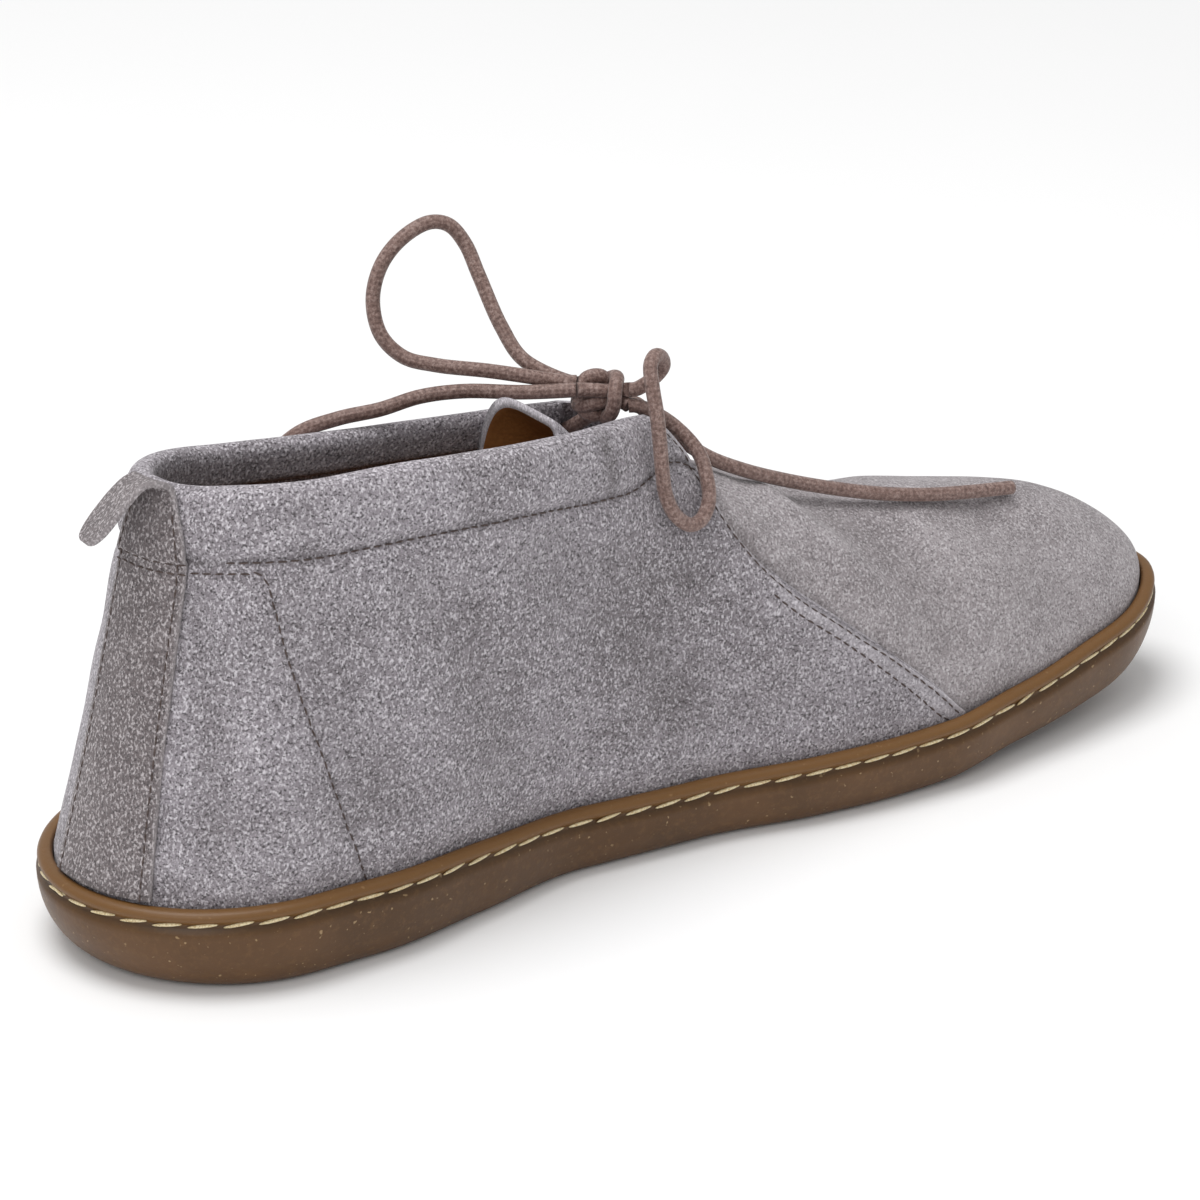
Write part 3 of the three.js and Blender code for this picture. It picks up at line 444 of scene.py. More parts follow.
def stitched_edge(turn):
    at, outer = share_at(turn), turn > 0.5
    width = HEEL_WIDTH + (BALL_WIDTH - HEEL_WIDTH) * ease(0.15, 0.6, at)
    half = read(OUTLINE, "outer" if outer else "inner", at) * width * end_cap(at)
    return np.array([LENGTH * at, centre_line(at) + (half if outer else -half)])


def outward(turn):
    along = stitched_edge((turn + 0.0005) % 1) - stitched_edge((turn - 0.0005) % 1)
    return np.array([along[1], -along[0]]) / np.linalg.norm(along)


def edge_point(turn, inset):
    return stitched_edge(turn) - outward(turn) * inset


def foot_point(turn, inset):
    return edge_point(turn, CUP_WALL + CLEARANCE + inset)


def underside(at):
    return read(OUTLINE, "low", at) * TOE_SPRING


def stitch_height(at):
    return underside(at) + read(OUTLINE, "edge", at) * SIDE_HEIGHT


def lip_height(at):
    return stitch_height(at) + LIP_RISE


def cup_floor(at):
    return underside(at) + read(OUTLINE, "floor", at) * CUP_FLOOR


def ridge_line(at):
    return centre_line(at) - read(RIDGE, "shift", at) * HEEL_WIDTH


# %% Arched and upright skin
def arch_points(turn, ups, insets, wide=1.0, full=1.0):
    """The arched skin of tongue and vamp: ups from 0 at the lip to 1 on the ridge."""
    at = share_at(turn)
    insets = insets + np.zeros_like(ups)
    feet = np.array([foot_point(turn, inset) for inset in (insets if np.ptp(insets) else insets[:1])])
    peaked = read(ARCH, "outer" if turn > 0.5 else "inner", at) * full
    across = 1 - np.maximum(1 - ups * ups, 0) ** (peaked / 2)
    x = feet[:, 0] + (read(ARCH, "reach", at) * LENGTH - feet[:, 0]) * across
    half = (feet[:, 1] - ridge_line(feet[:, 0] / LENGTH)) * (1 - across) * wide
    high = read(RIDGE, "rise", x / LENGTH) * INSTEP_HEIGHT - insets
    low = lip_height(at)
    return np.column_stack([x, ridge_line(x / LENGTH) + half, low + (high - low) * ups])


def wall_points(turn, ups, insets):
    """The upright skin of the quarters: ups from 0 at the lip to 1 at the collar's top edge."""
    at, outer = share_at(turn), turn > 0.5
    away = outward(turn)
    insets = insets + np.zeros_like(ups)
    foot = stitched_edge(turn) - np.outer(CUP_WALL + CLEARANCE + insets, away)
    reach = read(COLLAR, "reach", at) * LENGTH
    half = read(COLLAR, "outer" if outer else "inner", at) * HEEL_WIDTH * end_cap(at)
    top = np.array([reach, centre_line(reach / LENGTH) + (half if outer else -half)]) - np.outer(insets, away)
    swell = read(COLLAR, "swell", at) * SIDE_SWELL * np.sin(math.pi * ups)
    flat = foot + (top - foot) * ups[:, None] + np.outer(swell, away)
    low = lip_height(at)
    high = read(COLLAR, "rise", at) * COLLAR_HEIGHT - (read(COLLAR, "drop", at) * OUTER_DROP if outer else 0)
    return np.column_stack([flat, low + (high - low) * ups])


def quarter_points(turn, ups, insets):
    """Upright as far as the collar's corner, then settling on the arch of the vamp."""
    ups = np.atleast_1d(np.asarray(ups, float))
    settled = ease(CORNER, CORNER + SETTLE, share_at(turn))
    upright = wall_points(turn, ups, insets)
    return upright if settled == 0 else upright * (1 - settled) + arch_points(turn, ups, insets) * settled


print("collar's height at the heel in mm:", round(float(quarter_points(0.0001, 1.0, 0)[0][2]), 1))

# %% [markdown]
# Suede is the fleshy side of a split hide, sanded to a nap. The nap scatters light, so it has no gloss
# but a faint bloom at grazing angles, and it shows every place where a hand has brushed it another way:
# broad cloudy patches, shorter strokes, and a fine pepper of light and dark fibres. Cut edges are paler.
# Two values painted on the mesh change the colour: one makes cut edges paler and paints highlights on
# raised edges and bands, the other paints shade into seams, folds and dips and towards the front and
# bottom of the quarters.

# %% Suede
def napped_suede(name, body, light, dark, edge, pepper_share=0.6):
    made, tree, shader = new_material(
        name, Roughness=0.95, Specular_IOR_Level=0.1, Sheen_Weight=0.16, Sheen_Roughness=0.6,
    )
    clouds = grain(tree, 42, detail=3, rough=0.6)
    strokes = grain(tree, 14, detail=5, rough=0.65, stretch=(0.7, 1, 1.6), turn=(0, 0.5, 0))
    nap = grain(tree, 3.2, detail=4, rough=0.75)
    fibres = grain(tree, 0.52, detail=1, rough=0.6, stretch=(1, 1, 0.7), turn=(0.4, 0.5, 0))
    pepper = grain(tree, 0.48, detail=1, rough=0.6, stretch=(0.8, 1, 1), turn=(0, 0.9, 0.5))
    tone = blend_colour(tree, spread(tree, clouds, 0.36, 0.62), colour(dark), colour(body))
    tone = blend_colour(tree, spread(tree, strokes, 0.48, 0.72, 0, 0.6), tone, colour(light))
    tone = blend_colour(tree, spread(tree, strokes, 0.44, 0.26, 0, 0.55), tone, colour(dark))
    tone = blend_colour(tree, spread(tree, nap, 0.46, 0.68, 0, 0.45), tone, colour(light))
    tone = blend_colour(tree, spread(tree, nap, 0.46, 0.3, 0, 0.4), tone, colour(dark))
    tone = blend_colour(tree, spread(tree, fibres, 0.48, 0.7, 0, pepper_share), tone, colour(edge))
    tone = blend_colour(tree, spread(tree, pepper, 0.49, 0.3, 0, pepper_share), tone, colour("3a3638"))
    # Painted shade: the colour darkens where the mesh's shade value is high.
    shade = add(tree, "ShaderNodeAttribute", attribute_name="shade").outputs["Fac"]
    tone = blend_colour(tree, shade, tone, colour("443e3c"))
    # Paler cut edges, and painted highlights where edges and raised bands catch light.
    pale_edge_and_highlight = add(tree, "ShaderNodeAttribute", attribute_name="pale_edge_and_highlight").outputs["Fac"]
    tone = blend_colour(tree, pale_edge_and_highlight, tone, colour(edge))
    tree.links.new(tone, shader.inputs["Base Color"])
    bumps(tree, shader, fibres, 0.2, bumps(tree, shader, nap, 0.35))
    return made


SUEDE = napped_suede("napped_split_suede_grey", "958f95", "ada7ad", "7a7478", "e0dbe1", 0.85)
VAMP_SUEDE = napped_suede("napped_split_suede_vamp", "9a9395", "b1aaad", "857e80", "dfdadd", 0.55)
STRIP_SUEDE = napped_suede("napped_split_suede_strip", "6e6667", "857d7e", "605859", "d0c9cb", 0.75)

# %% [markdown]
# The lining and the tongue's inside are thin vegetable-tanned leather with a fine pebbled grain. It is
# smooth enough for a broad, weak highlight.

# %% Leather lining
def tanned_leather(name, body, dark):
    made, tree, shader = new_material(name, Roughness=0.5, Specular_IOR_Level=0.4)
    place = add(tree, "ShaderNodeTexCoord").outputs["Object"]
    pebble = add(tree, "ShaderNodeTexVoronoi", {0: place, "Scale": 1000 / 1.1}).outputs["Distance"]
    tone = blend_colour(tree, spread(tree, grain(tree, 18, detail=4), 0.3, 0.7), colour(dark), colour(body))
    tone = blend_colour(tree, spread(tree, pebble, 0.2, 0.7, 0, 0.35), tone, colour(dark))
    tree.links.new(tone, shader.inputs["Base Color"])
    bumps(tree, shader, pebble, 0.12)
    return made


TAN_LINING = tanned_leather("vegetable_tanned_lining_leather", "a5713f", "7d4f2a")

# %% [markdown]
# The quarters are one wall from the cup of the sole up to the collar. There the suede is folded over
# and stitched down as a padded band, and goes down inside as the lining. Its section is drawn once, as
# distances below the top edge and in from the skin, and swept around the ankle.

# %% Section of the collar band
OUTSIDE = table(
    "at inset", (0.0, -0.02), (0.04, 0.12), (0.1, -0.25), (0.2, -0.72), (0.4, -0.95), (0.6, -0.95), (0.8, -0.8),
    (0.92, -0.4), (0.98, 0.3), (1.0, 0.9),
)
INSIDE = table(
    "at inset", (0.0, 2.0), (0.2, 2.0), (0.26, 3.4), (0.34, 4.7), (0.5, 5.0), (0.7, 5.0), (0.86, 4.6), (0.96, 3.7),
    (1.0, 3.0),
)
CROWN = [(-0.01, 1.4), (-0.022, 2.0), (-0.012, 2.6)]
WALL_SHARES = np.concatenate([np.linspace(0, 0.1, 7)[:-1], np.linspace(0.1, 0.93, 34)[:-1], np.linspace(0.93, 1, 7)])
BAND_SHARES = np.concatenate([np.linspace(0, 0.2, 9)[1:-1], np.linspace(0.2, 0.9, 12)[:-1], np.linspace(0.9, 1, 5)])


PAD_END = (0.548, 0.556)
BAND_TIP = 0.925


def corner_share(outer):
    return CORNER - CORNER_BACK if outer else CORNER


def band_up(at, outer):
    """Height of the band's lower edge on the skin; it rises to the front edge past the corner."""
    low = 1 - BAND / (read(COLLAR, "rise", at) * COLLAR_HEIGHT - lip_height(at))
    return low + (BAND_TIP - low) * ease(0.455, 0.55, at + (CORNER_BACK if outer else 0))


def quarter_column(turn, top):
    """One section of the quarters, from the foot outside over the collar to the foot inside."""
    at, outer = share_at(turn), turn > 0.5
    corner = corner_share(outer)
    banded = 1 - ease(corner, corner + BAND_END, at)
    band = 1 - band_up(at, outer) if at < corner else min(1 - band_up(corner, outer), top / 2)
    ups = np.concatenate([WALL_SHARES * (top - band), top - (1 - BAND_SHARES) * band])
    none = np.zeros(len(WALL_SHARES))
    outside = np.concatenate([none, banded * read(OUTSIDE, "inset", BAND_SHARES)])
    if banded < 1:
        below = np.clip((1 - ups) / (1 - band_up(at, outer)), 0, 1)
        padded = (1 - banded) * (1 - ease(*PAD_END, at + (CORNER_BACK if outer else 0))) * read(OUTSIDE, "inset", np.clip(1 - below, 0, 0.6))
        rounded = 0.9 * ease(0.7, 1, np.concatenate([none, BAND_SHARES])) * (1 - banded)
        outside = outside + padded + rounded
    inside_band = QUARTER + banded * (read(INSIDE, "inset", BAND_SHARES) - QUARTER)
    inside = np.concatenate([none + QUARTER, inside_band])
    crown_ups = np.array([top - below * band * banded for below, _ in CROWN])
    crown = np.array([banded * inset + (1 - banded) * QUARTER * (k + 1) / 4 for k, (_, inset) in enumerate(CROWN)])
    foot = [np.append(foot_point(turn, inset), cup_floor(at) + CLEARANCE) for inset in (0, QUARTER)]
    points = np.vstack([
        foot[0],
        quarter_points(turn, ups, outside),
        quarter_points(turn, crown_ups, crown),
        quarter_points(turn, ups[::-1], inside[::-1]),
        foot[1],
    ])
    return points, np.concatenate([[0], ups, crown_ups, ups[::-1], [0]])


# %% Columns of the quarters
def even_turns(first, last, count):
    """Turns from first to last, at even distances along the sole's edge."""
    turns = np.linspace(first, last, 400)
    edge = np.array([stitched_edge(t % 1) for t in turns])
    far = np.concatenate([[0], np.cumsum(np.linalg.norm(np.diff(edge, axis=0), axis=1))])
    return np.interp(np.linspace(0, far[-1], count), far, turns)


def seam_rows(steps):
    """The front edge from the collar's corner down to the sole, as (share, up) pairs."""
    rows = np.linspace(0, len(SEAM["at"]) - 1, steps)
    order = {"at": np.arange(len(SEAM["at"]), dtype=float), "share": SEAM["at"], "up": SEAM["up"]}
    return list(zip(read(order, "share", rows), read(order, "up", rows)))


def quarter_turns(front_steps, ring_steps):
    front = seam_rows(front_steps)
    inner = [(turn_at(at, False), up) for at, up in reversed(front)]
    ring = even_turns(turn_at(CORNER, False), turn_at(CORNER - CORNER_BACK, True) - 1, ring_steps)
    middle = [(t % 1, 1.0) for t in ring]
    outer = [(turn_at(at - CORNER_BACK * up, True), up) for at, up in front]
    return inner + middle + outer


# %% Relief of the suede
def far_from(points, line):
    """Distance of each point from a line of points."""
    best = np.full(len(points), 1e9)
    for a, b in zip(line[:-1], line[1:]):
        run = b - a
        share = np.clip((points - a) @ run / max(run @ run, 1e-9), 0, 1)
        best = np.minimum(best, np.linalg.norm(points - a - share[:, None] * run, axis=1))
    return best


def press(points, lines, width, depth):
    """How far soft troughs (depth over 0) or ridges (under 0) move each point in, in mm."""
    moved = np.zeros(len(points))
    for line in lines:
        moved += depth * np.exp(-((far_from(points, np.asarray(line, float)) / width) ** 2))
    return moved


def unevenness(points, size, height):
    """Slow, even ups and downs, so that no panel is perfectly smooth."""
    return np.array([height * noise.noise(Vector(p) / size) for p in points])


def push(piece, amounts):
    """Moves each point of a piece along its normal, outwards for amounts over 0, in mm."""
    mesh = piece.data
    count = len(mesh.vertices)
    places, ways = np.empty(count * 3), np.empty(count * 3)
    mesh.vertices.foreach_get("co", places)
    mesh.vertex_normals.foreach_get("vector", ways)
    places = places.reshape(-1, 3) + ways.reshape(-1, 3) * np.asarray(amounts)[:, None] / 1000
    mesh.vertices.foreach_set("co", places.ravel())
    mesh.update()


def places_mm(piece):
    count = len(piece.data.vertices)
    places = np.empty(count * 3)
    piece.data.vertices.foreach_get("co", places)
    return places.reshape(-1, 3) * 1000 - FROM_HEEL


def values_of(piece, name):
    values = np.empty(len(piece.data.vertices), np.float32)
    piece.data.attributes[name].data.foreach_get("value", values)
    return values


def paint(piece, name, values):
    layer = piece.data.attributes.get(name) or piece.data.attributes.new(name, "FLOAT", "POINT")
    layer.data.foreach_set("value", np.clip(values, 0, 1).astype(np.float32))


# %% Build the quarters
def ring_faces(columns, rows, closed=False):
    """Faces between columns of rows; each column is a loop that isn't closed."""
    last = columns if closed else columns - 1
    return [
        (c * rows + r, c * rows + r + 1, (c + 1) % columns * rows + r + 1, (c + 1) % columns * rows + r)
        for c in range(last)
        for r in range(rows - 1)
    ]


def end_faces(start, rows):
    """Closes one end: the first half of the column's rows is joined to the second half."""
    return [(start + r, start + r + 1, start + rows - 2 - r, start + rows - 1 - r) for r in range(rows // 2)]


def build_quarters():
    turns = quarter_turns(56, 230)
    columns = [quarter_column(turn, top) for turn, top in turns]
    rows = len(columns[0][0])
    faces = ring_faces(len(columns), rows)
    half = 1 + len(WALL_SHARES) + len(BAND_SHARES) + len(CROWN)
    lined = half + len(BAND_SHARES) - 3
    kinds = [1 if face[0] % rows >= lined else 0 for face in faces]
    ends = end_faces(0, rows) + end_faces((len(columns) - 1) * rows, rows)
    out = np.tile((np.arange(rows) < half).astype(float), len(columns))
    ups = np.concatenate([c[1] for c in columns])
    points = np.concatenate([c[0] for c in columns])
    return make_piece(
        "quarters", points, faces + ends, [SUEDE, TAN_LINING], kinds + [0] * len(ends),
        {"out": out, "up": ups},
    )


QUARTERS = build_quarters()
print("quarters, faces:", len(QUARTERS.data.polygons))

# %% [markdown]
# The vamp is the front of the upper. It arches from one side of the sole to the other, runs on under
# the quarters, and closes at the toe.

# %% Build the vamp
VAMP_UPS = np.sin(np.linspace(0, 1, 56) * math.pi / 2) ** 0.9
THROAT_UP = 0.86


def vamp_starts():
    """Where the vamp's hidden edge lies at each height, as shares of the length."""
    ups = np.minimum(VAMP_UPS, THROAT_UP)
    order = np.argsort(SEAM["up"])
    under = np.interp(ups, SEAM["up"][order], SEAM["at"][order]) - SEAM_LAP
    crossing = ease(THROAT_UP, 1, VAMP_UPS)
    return under + (THROAT - under) * crossing


def vamp_half(outer, share, depth):
    starts = vamp_starts()
    ats = starts + (1 - starts) * share
    sunk = (QUARTER - SEAM_SINK) * (1 - ease(0.72, 0.8, ats)) + depth
    rows = [
        arch_points(turn_at(at, outer), np.array([up]), np.array([inset]))[0]
        for at, up, inset in zip(ats, VAMP_UPS, sunk)
    ]
    foot = np.append(foot_point(turn_at(ats[0], outer), sunk[0]), cup_floor(ats[0]) + CLEARANCE)
    return np.vstack([foot, rows])


def build_vamp():
    shares = np.sin(np.linspace(0, 1, 110) * math.pi / 2)
    columns = []
    for share in shares:
        skins = []
        for depth in (0, VAMP):
            skins.append(np.vstack([vamp_half(False, share, depth), vamp_half(True, share, depth)[::-1][1:]]))
        columns.append(np.vstack([skins[0], skins[1][::-1]]))
    rows = len(columns[0])
    faces = ring_faces(len(columns), rows)
    kinds = [1 if face[0] % rows >= rows // 2 else 0 for face in faces]
    ends = end_faces(0, rows)
    out = np.tile((np.arange(rows) < rows // 2).astype(float), len(columns))
    return make_piece(
        "vamp", np.concatenate(columns), faces + ends, [VAMP_SUEDE, TAN_LINING],
        kinds + [0] * len(ends), {"out": out},
    )


VAMP_PIECE = build_vamp()
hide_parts("upper")
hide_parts("upper")
print("vamp, faces:", len(VAMP_PIECE.data.polygons))

# %% [markdown]
# The tongue is a narrow arch that comes up from under the vamp, gathered between the collar's corners,
# with an open top end. Its cut edge is light suede and its inside is tan leather.

# %% Build the tongue
TONGUE_UPS = TONGUE_EDGE + (1 - TONGUE_EDGE) * np.sin(np.linspace(0, 1, 26) * math.pi / 2)


def tongue_arch(share, depth):
    at = TONGUE_TOP + (TONGUE_ROOT - TONGUE_TOP) * share
    sunk = QUARTER - SEAM_SINK + VAMP + 2 * CLEARANCE + depth
    wide, full = read(GATHER, "wide", share), read(GATHER, "full", share)
    halves = [arch_points(turn_at(at, outer), TONGUE_UPS, np.full(26, sunk), wide, full) for outer in (False, True)]
    return np.vstack([halves[0], halves[1][::-1][1:]])


def build_tongue():
    columns = []
    for share in np.linspace(0, 1, 50):
        columns.append(np.vstack([tongue_arch(share, 0), tongue_arch(share, TONGUE)[::-1]]))
    rows = len(columns[0])
    faces = ring_faces(len(columns), rows)
    kinds = [1 if face[0] % rows >= rows // 2 else 0 for face in faces]
    sides = [(c * rows + rows - 1, c * rows, (c + 1) * rows, (c + 1) * rows + rows - 1) for c in range(49)]
    ends = end_faces(0, rows) + end_faces(49 * rows, rows)
    pale_edge_and_highlight = np.zeros((50, rows))
    pale_edge_and_highlight[0] = 0.3
    return make_piece(
        "tongue_arch", np.concatenate(columns), faces + sides + ends, [SUEDE, TAN_LINING],
        kinds + [0] * (len(sides) + len(ends)), {"pale_edge_and_highlight": pale_edge_and_highlight.ravel()},
    )


TONGUE_PIECE = build_tongue()
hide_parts("tongue")

# %% [markdown]
# A strip of suede covers the heel's seam from the sole to the collar. Its top end folds out over the
# collar and hangs down as a small pull tab.

# %% Build the heel strip
STRIP_ROWS = table(
    "at up width", (0, 0.012, 1), (1, 0.2, 0.95), (2, 0.4, 0.91), (3, 0.6, 0.89), (4, 0.78, 0.88), (5, 0.85, 0.84),
    (6, 0.93, 0.67), (7, 1, 0.47),
)
TAB_ROWS = table(
    "at back rise narrow round", (0, 0, 0, 0, 1), (1, 0.026, 0.171, 0.1, 1), (2, 0.092, 0.305, 0.25, 1),
    (3, 0.197, 0.354, 0.42, 1), (4, 0.322, 0.268, 0.6, 1), (5, 0.454, 0.073, 0.8, 1), (6, 0.586, -0.171, 0.95, 1),
    (7, 0.711, -0.427, 1, 1), (8, 0.822, -0.659, 1, 0.96), (9, 0.914, -0.841, 1, 0.8), (10, 0.974, -0.951, 1, 0.55),
    (11, 1, -1, 1, 0.2),
)
TAB_STRAIGHT = 0.5
HALF_TURNS = np.linspace(0, turn_at(HEEL_CAP, False), 200)
HALF_WIDTHS = np.array([abs(foot_point(t, 0)[1] - centre_line(0)) for t in HALF_TURNS])


def strip_points(across, ups, widths, lift):
    """Points of the strip at one place across it, for rows of heights and widths."""
    height = COLLAR["rise"][0] * COLLAR_HEIGHT - lip_height(0)
    points = []
    for up, width in zip(ups, widths):
        side = across * width * STRIP_WIDTH / 2 - STRIP_SHIFT
        turn = np.interp(abs(side), HALF_WIDTHS, HALF_TURNS)
        puff = BAND_PUFF * ease(1, 0.92, (1 - up) * height / BAND)
        wrapped = turn if side < 0 else (1 - turn) % 1
        points.append(quarter_points(wrapped, up, np.array([-puff - CLEARANCE - lift]))[0])
    return np.array(points)


def strip_grid(lift, columns=44):
    """The strip from the sole up, then the tab folding out."""
    order = np.linspace(0, 7, 64)
    ups, widths = read(STRIP_ROWS, "up", order), read(STRIP_ROWS, "width", order)
    tops = {across: strip_points(across, [1.0], [0.47], 0)[0] for across in np.linspace(-1, 1, columns + 1)}
    edges = list(tops.values())
    middle, widest = edges[columns // 2], edges[-1][1] - edges[0][1]
    steps = np.linspace(0.4, 11, 56)
    back, rise, narrow, rounding = (read(TAB_ROWS, name, steps) for name in ("back", "rise", "narrow", "round"))
    run = np.column_stack([np.gradient(back) * TAB_REACH, np.gradient(rise) * TAB_FALL])
    run /= np.linalg.norm(run, axis=1)[:, None]
    straight = ease(0, TAB_STRAIGHT, narrow)
    grid = []
    for across, top in tops.items():
        half = across * (widest + (TAB_WIDTH - widest) * narrow) * rounding / 2
        out = back * TAB_REACH + run[:, 1] * lift
        x = top[0] + (middle[0] - top[0]) * straight - math.cos(TAB_TURN) * out + np.sin(TAB_TURN * straight) * half
        y = middle[1] + math.sin(TAB_TURN) * out + np.cos(TAB_TURN * straight) * half
        z = top[2] + (middle[2] - top[2]) * straight + rise * TAB_FALL - run[:, 0] * lift - TAB_SLANT * straight * half
        grid.append(np.vstack([strip_points(across, ups, widths, lift), np.column_stack([x, y, z])]))
    return grid


def build_strip():
    columns = [np.vstack([o, i[::-1]]) for o, i in zip(strip_grid(STRIP), strip_grid(0))]
    rows = len(columns[0])
    faces = ring_faces(len(columns), rows)
    faces += [(c * rows + rows - 1, c * rows, (c + 1) * rows, (c + 1) * rows + rows - 1) for c in range(len(columns) - 1)]
    faces += end_faces(0, rows) + end_faces((len(columns) - 1) * rows, rows)
    pale_edge_and_highlight = np.zeros((len(columns), rows))
    pale_edge_and_highlight[0] = pale_edge_and_highlight[-1] = 0.25
    return make_piece("heel_strip_tab", np.concatenate(columns), faces, [STRIP_SUEDE], None, {"pale_edge_and_highlight": pale_edge_and_highlight.ravel()})


HEEL_PIECE = build_strip()
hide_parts("heel_strip")
print("heel strip, faces:", len(HEEL_PIECE.data.polygons))

# %% [markdown]
# The sole is one cup of gum rubber, moulded in one piece and stitched to the upper in a groove. Gum
# rubber is a little translucent, golden brown and satin, with light specks. Shade is painted into the
# stitch groove and a highlight onto the lip's rounded top. Its underside has a fine zigzag tread, which
# is drawn as relief in the material.

# %% Gum rubber
def gum_rubber(name):
    made, tree, shader = new_material(name, Roughness=0.42, Specular_IOR_Level=0.4, Subsurface_Weight=0.08)
    shader.inputs["Subsurface Radius"].default_value = (0.004, 0.002, 0.001)
    clouds = grain(tree, 26, detail=4, rough=0.6)
    fine = grain(tree, 1.6, detail=4, rough=0.7)
    specks = grain(tree, 1.1, detail=1, rough=0.4)
    tone = blend_colour(tree, spread(tree, clouds, 0.35, 0.65), colour("4e3315"), colour("5f4020"))
    tone = blend_colour(tree, spread(tree, fine, 0.5, 0.75, 0, 0.4), tone, colour("7a5831"))
    tone = blend_colour(tree, spread(tree, specks, 0.72, 0.78, 0, 0.8), tone, colour("a78b64"))
    # Painted highlight on the lip's rounded top.
    lip = add(tree, "ShaderNodeAttribute", attribute_name="pale_edge_and_highlight").outputs["Fac"]
    tone = blend_colour(tree, lip, tone, colour("75522a"))
    # Painted shade in the stitch groove.
    shade = add(tree, "ShaderNodeAttribute", attribute_name="shade").outputs["Fac"]
    tone = blend_colour(tree, shade, tone, colour("37260f"))
    tree.links.new(tone, shader.inputs["Base Color"])
    place = add(tree, "ShaderNodeSeparateXYZ", {0: add(tree, "ShaderNodeTexCoord").outputs["Object"]}).outputs
    zigzag = add(tree, "ShaderNodeMath", {0: place[1], 1: 0.005}, operation="PINGPONG").outputs[0]
    bent = add(tree, "ShaderNodeMath", {0: place[0], 1: zigzag}, operation="ADD").outputs[0]
    rib = add(tree, "ShaderNodeMath", {0: bent, 1: 0.0018}, operation="PINGPONG").outputs[0]
    rib = spread(tree, rib, 0.0005, 0.0011)
    under = add(tree, "ShaderNodeAttribute", attribute_name="under").outputs["Fac"]
    tread = add(tree, "ShaderNodeMath", {0: rib, 1: under}, operation="MULTIPLY").outputs[0]
    bumps(tree, shader, tread, 0.7, bumps(tree, shader, fine, 0.07))
    return made


RUBBER = gum_rubber("moulded_gum_rubber")

# %% Build the sole
SOLE_TOP = [
    (0.95, -0.9), (1.1, -0.25), (0.95, 0.3), (0.45, 0.75), (0.3, 1.3), (0.55, 1.9), (1.1, 2.35), (1.9, 2.6),
    (2.7, 2.6), (3.2, 2.4), (3.4, 2.0),
]


def sole_column(turn):
    at = share_at(turn)
    low, edge = underside(at), stitch_height(at)
    tuck = read(OUTLINE, "tuck", at) * SIDE_TUCK
    angles = np.linspace(0, 1, 15) * math.pi / 2
    rows = [(tuck + 8, low), (tuck + 3, low), (tuck + 1, low)]
    rows += [(tuck * (1 - math.sin(a)), edge - 1.5 + (low - edge + 1.5) * math.cos(a)) for a in angles]
    rows += [(inset, edge + rise) for inset, rise in SOLE_TOP]
    rows += [(CUP_WALL, cup_floor(at) + 1), (CUP_WALL + 1, cup_floor(at))]
    return [np.append(edge_point(turn, inset), z) for inset, z in rows]


def build_sole(count=360):
    turns = even_turns(0, 1, count + 1)[:-1]
    turns = np.concatenate([turns[turns < 0.5], [0.5], 1 - turns[(turns > 0) & (turns < 0.5)][::-1]])
    columns = [sole_column(t) for t in turns]
    total, rows = len(columns), len(columns[0])
    faces = ring_faces(total, rows, closed=True)
    for c in range(total // 2):
        far, near = (total - c) % total, total - c - 1
        faces.append((c * rows, far * rows, near * rows, (c + 1) * rows))
        faces.append((c * rows + rows - 1, (c + 1) * rows + rows - 1, near * rows + rows - 1, far * rows + rows - 1))
    faces = [tuple(dict.fromkeys(face)) for face in faces]
    faces = [face for face in faces if len(face) > 2]
    under, lip, shade = np.zeros(rows), np.zeros(rows), np.zeros(rows)
    under[:4] = 1
    # Rows 20 to 26, the lip's rounded top, get a painted highlight.
    lip[20:27] = 0.75
    # Rows 17 to 19, around the stitch groove, get painted shade.
    shade[17:20] = (0.3, 0.5, 0.3)
    marks = {"under": np.tile(under, total), "pale_edge_and_highlight": np.tile(lip, total), "shade": np.tile(shade, total)}
    return make_piece("cup_sole", np.concatenate(columns), faces, [RUBBER], None, marks)


SOLE_PIECE = build_sole()
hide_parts("outsole")
print("sole, faces:", len(SOLE_PIECE.data.polygons))

# %% [markdown]
# The footbed inside the cup is seen only through the collar, so the model's own plate stays and gets a
# leather cover.

# %% Footbed
def dress(node_name, finish):
    """Gives a node of the model its material."""
    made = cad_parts[node_name]
    made.data.materials.clear()
    made.data.materials.append(finish)


dress("insole", TAN_LINING)
print("nodes that keep their mesh: insole")

# %% [markdown]
# The knot was pulled tight: one strand is wrapped around all the others in front, two more fold around
# them behind it, and three run through, from each lace on one side to one on the other. The places of
# the strands are listed.

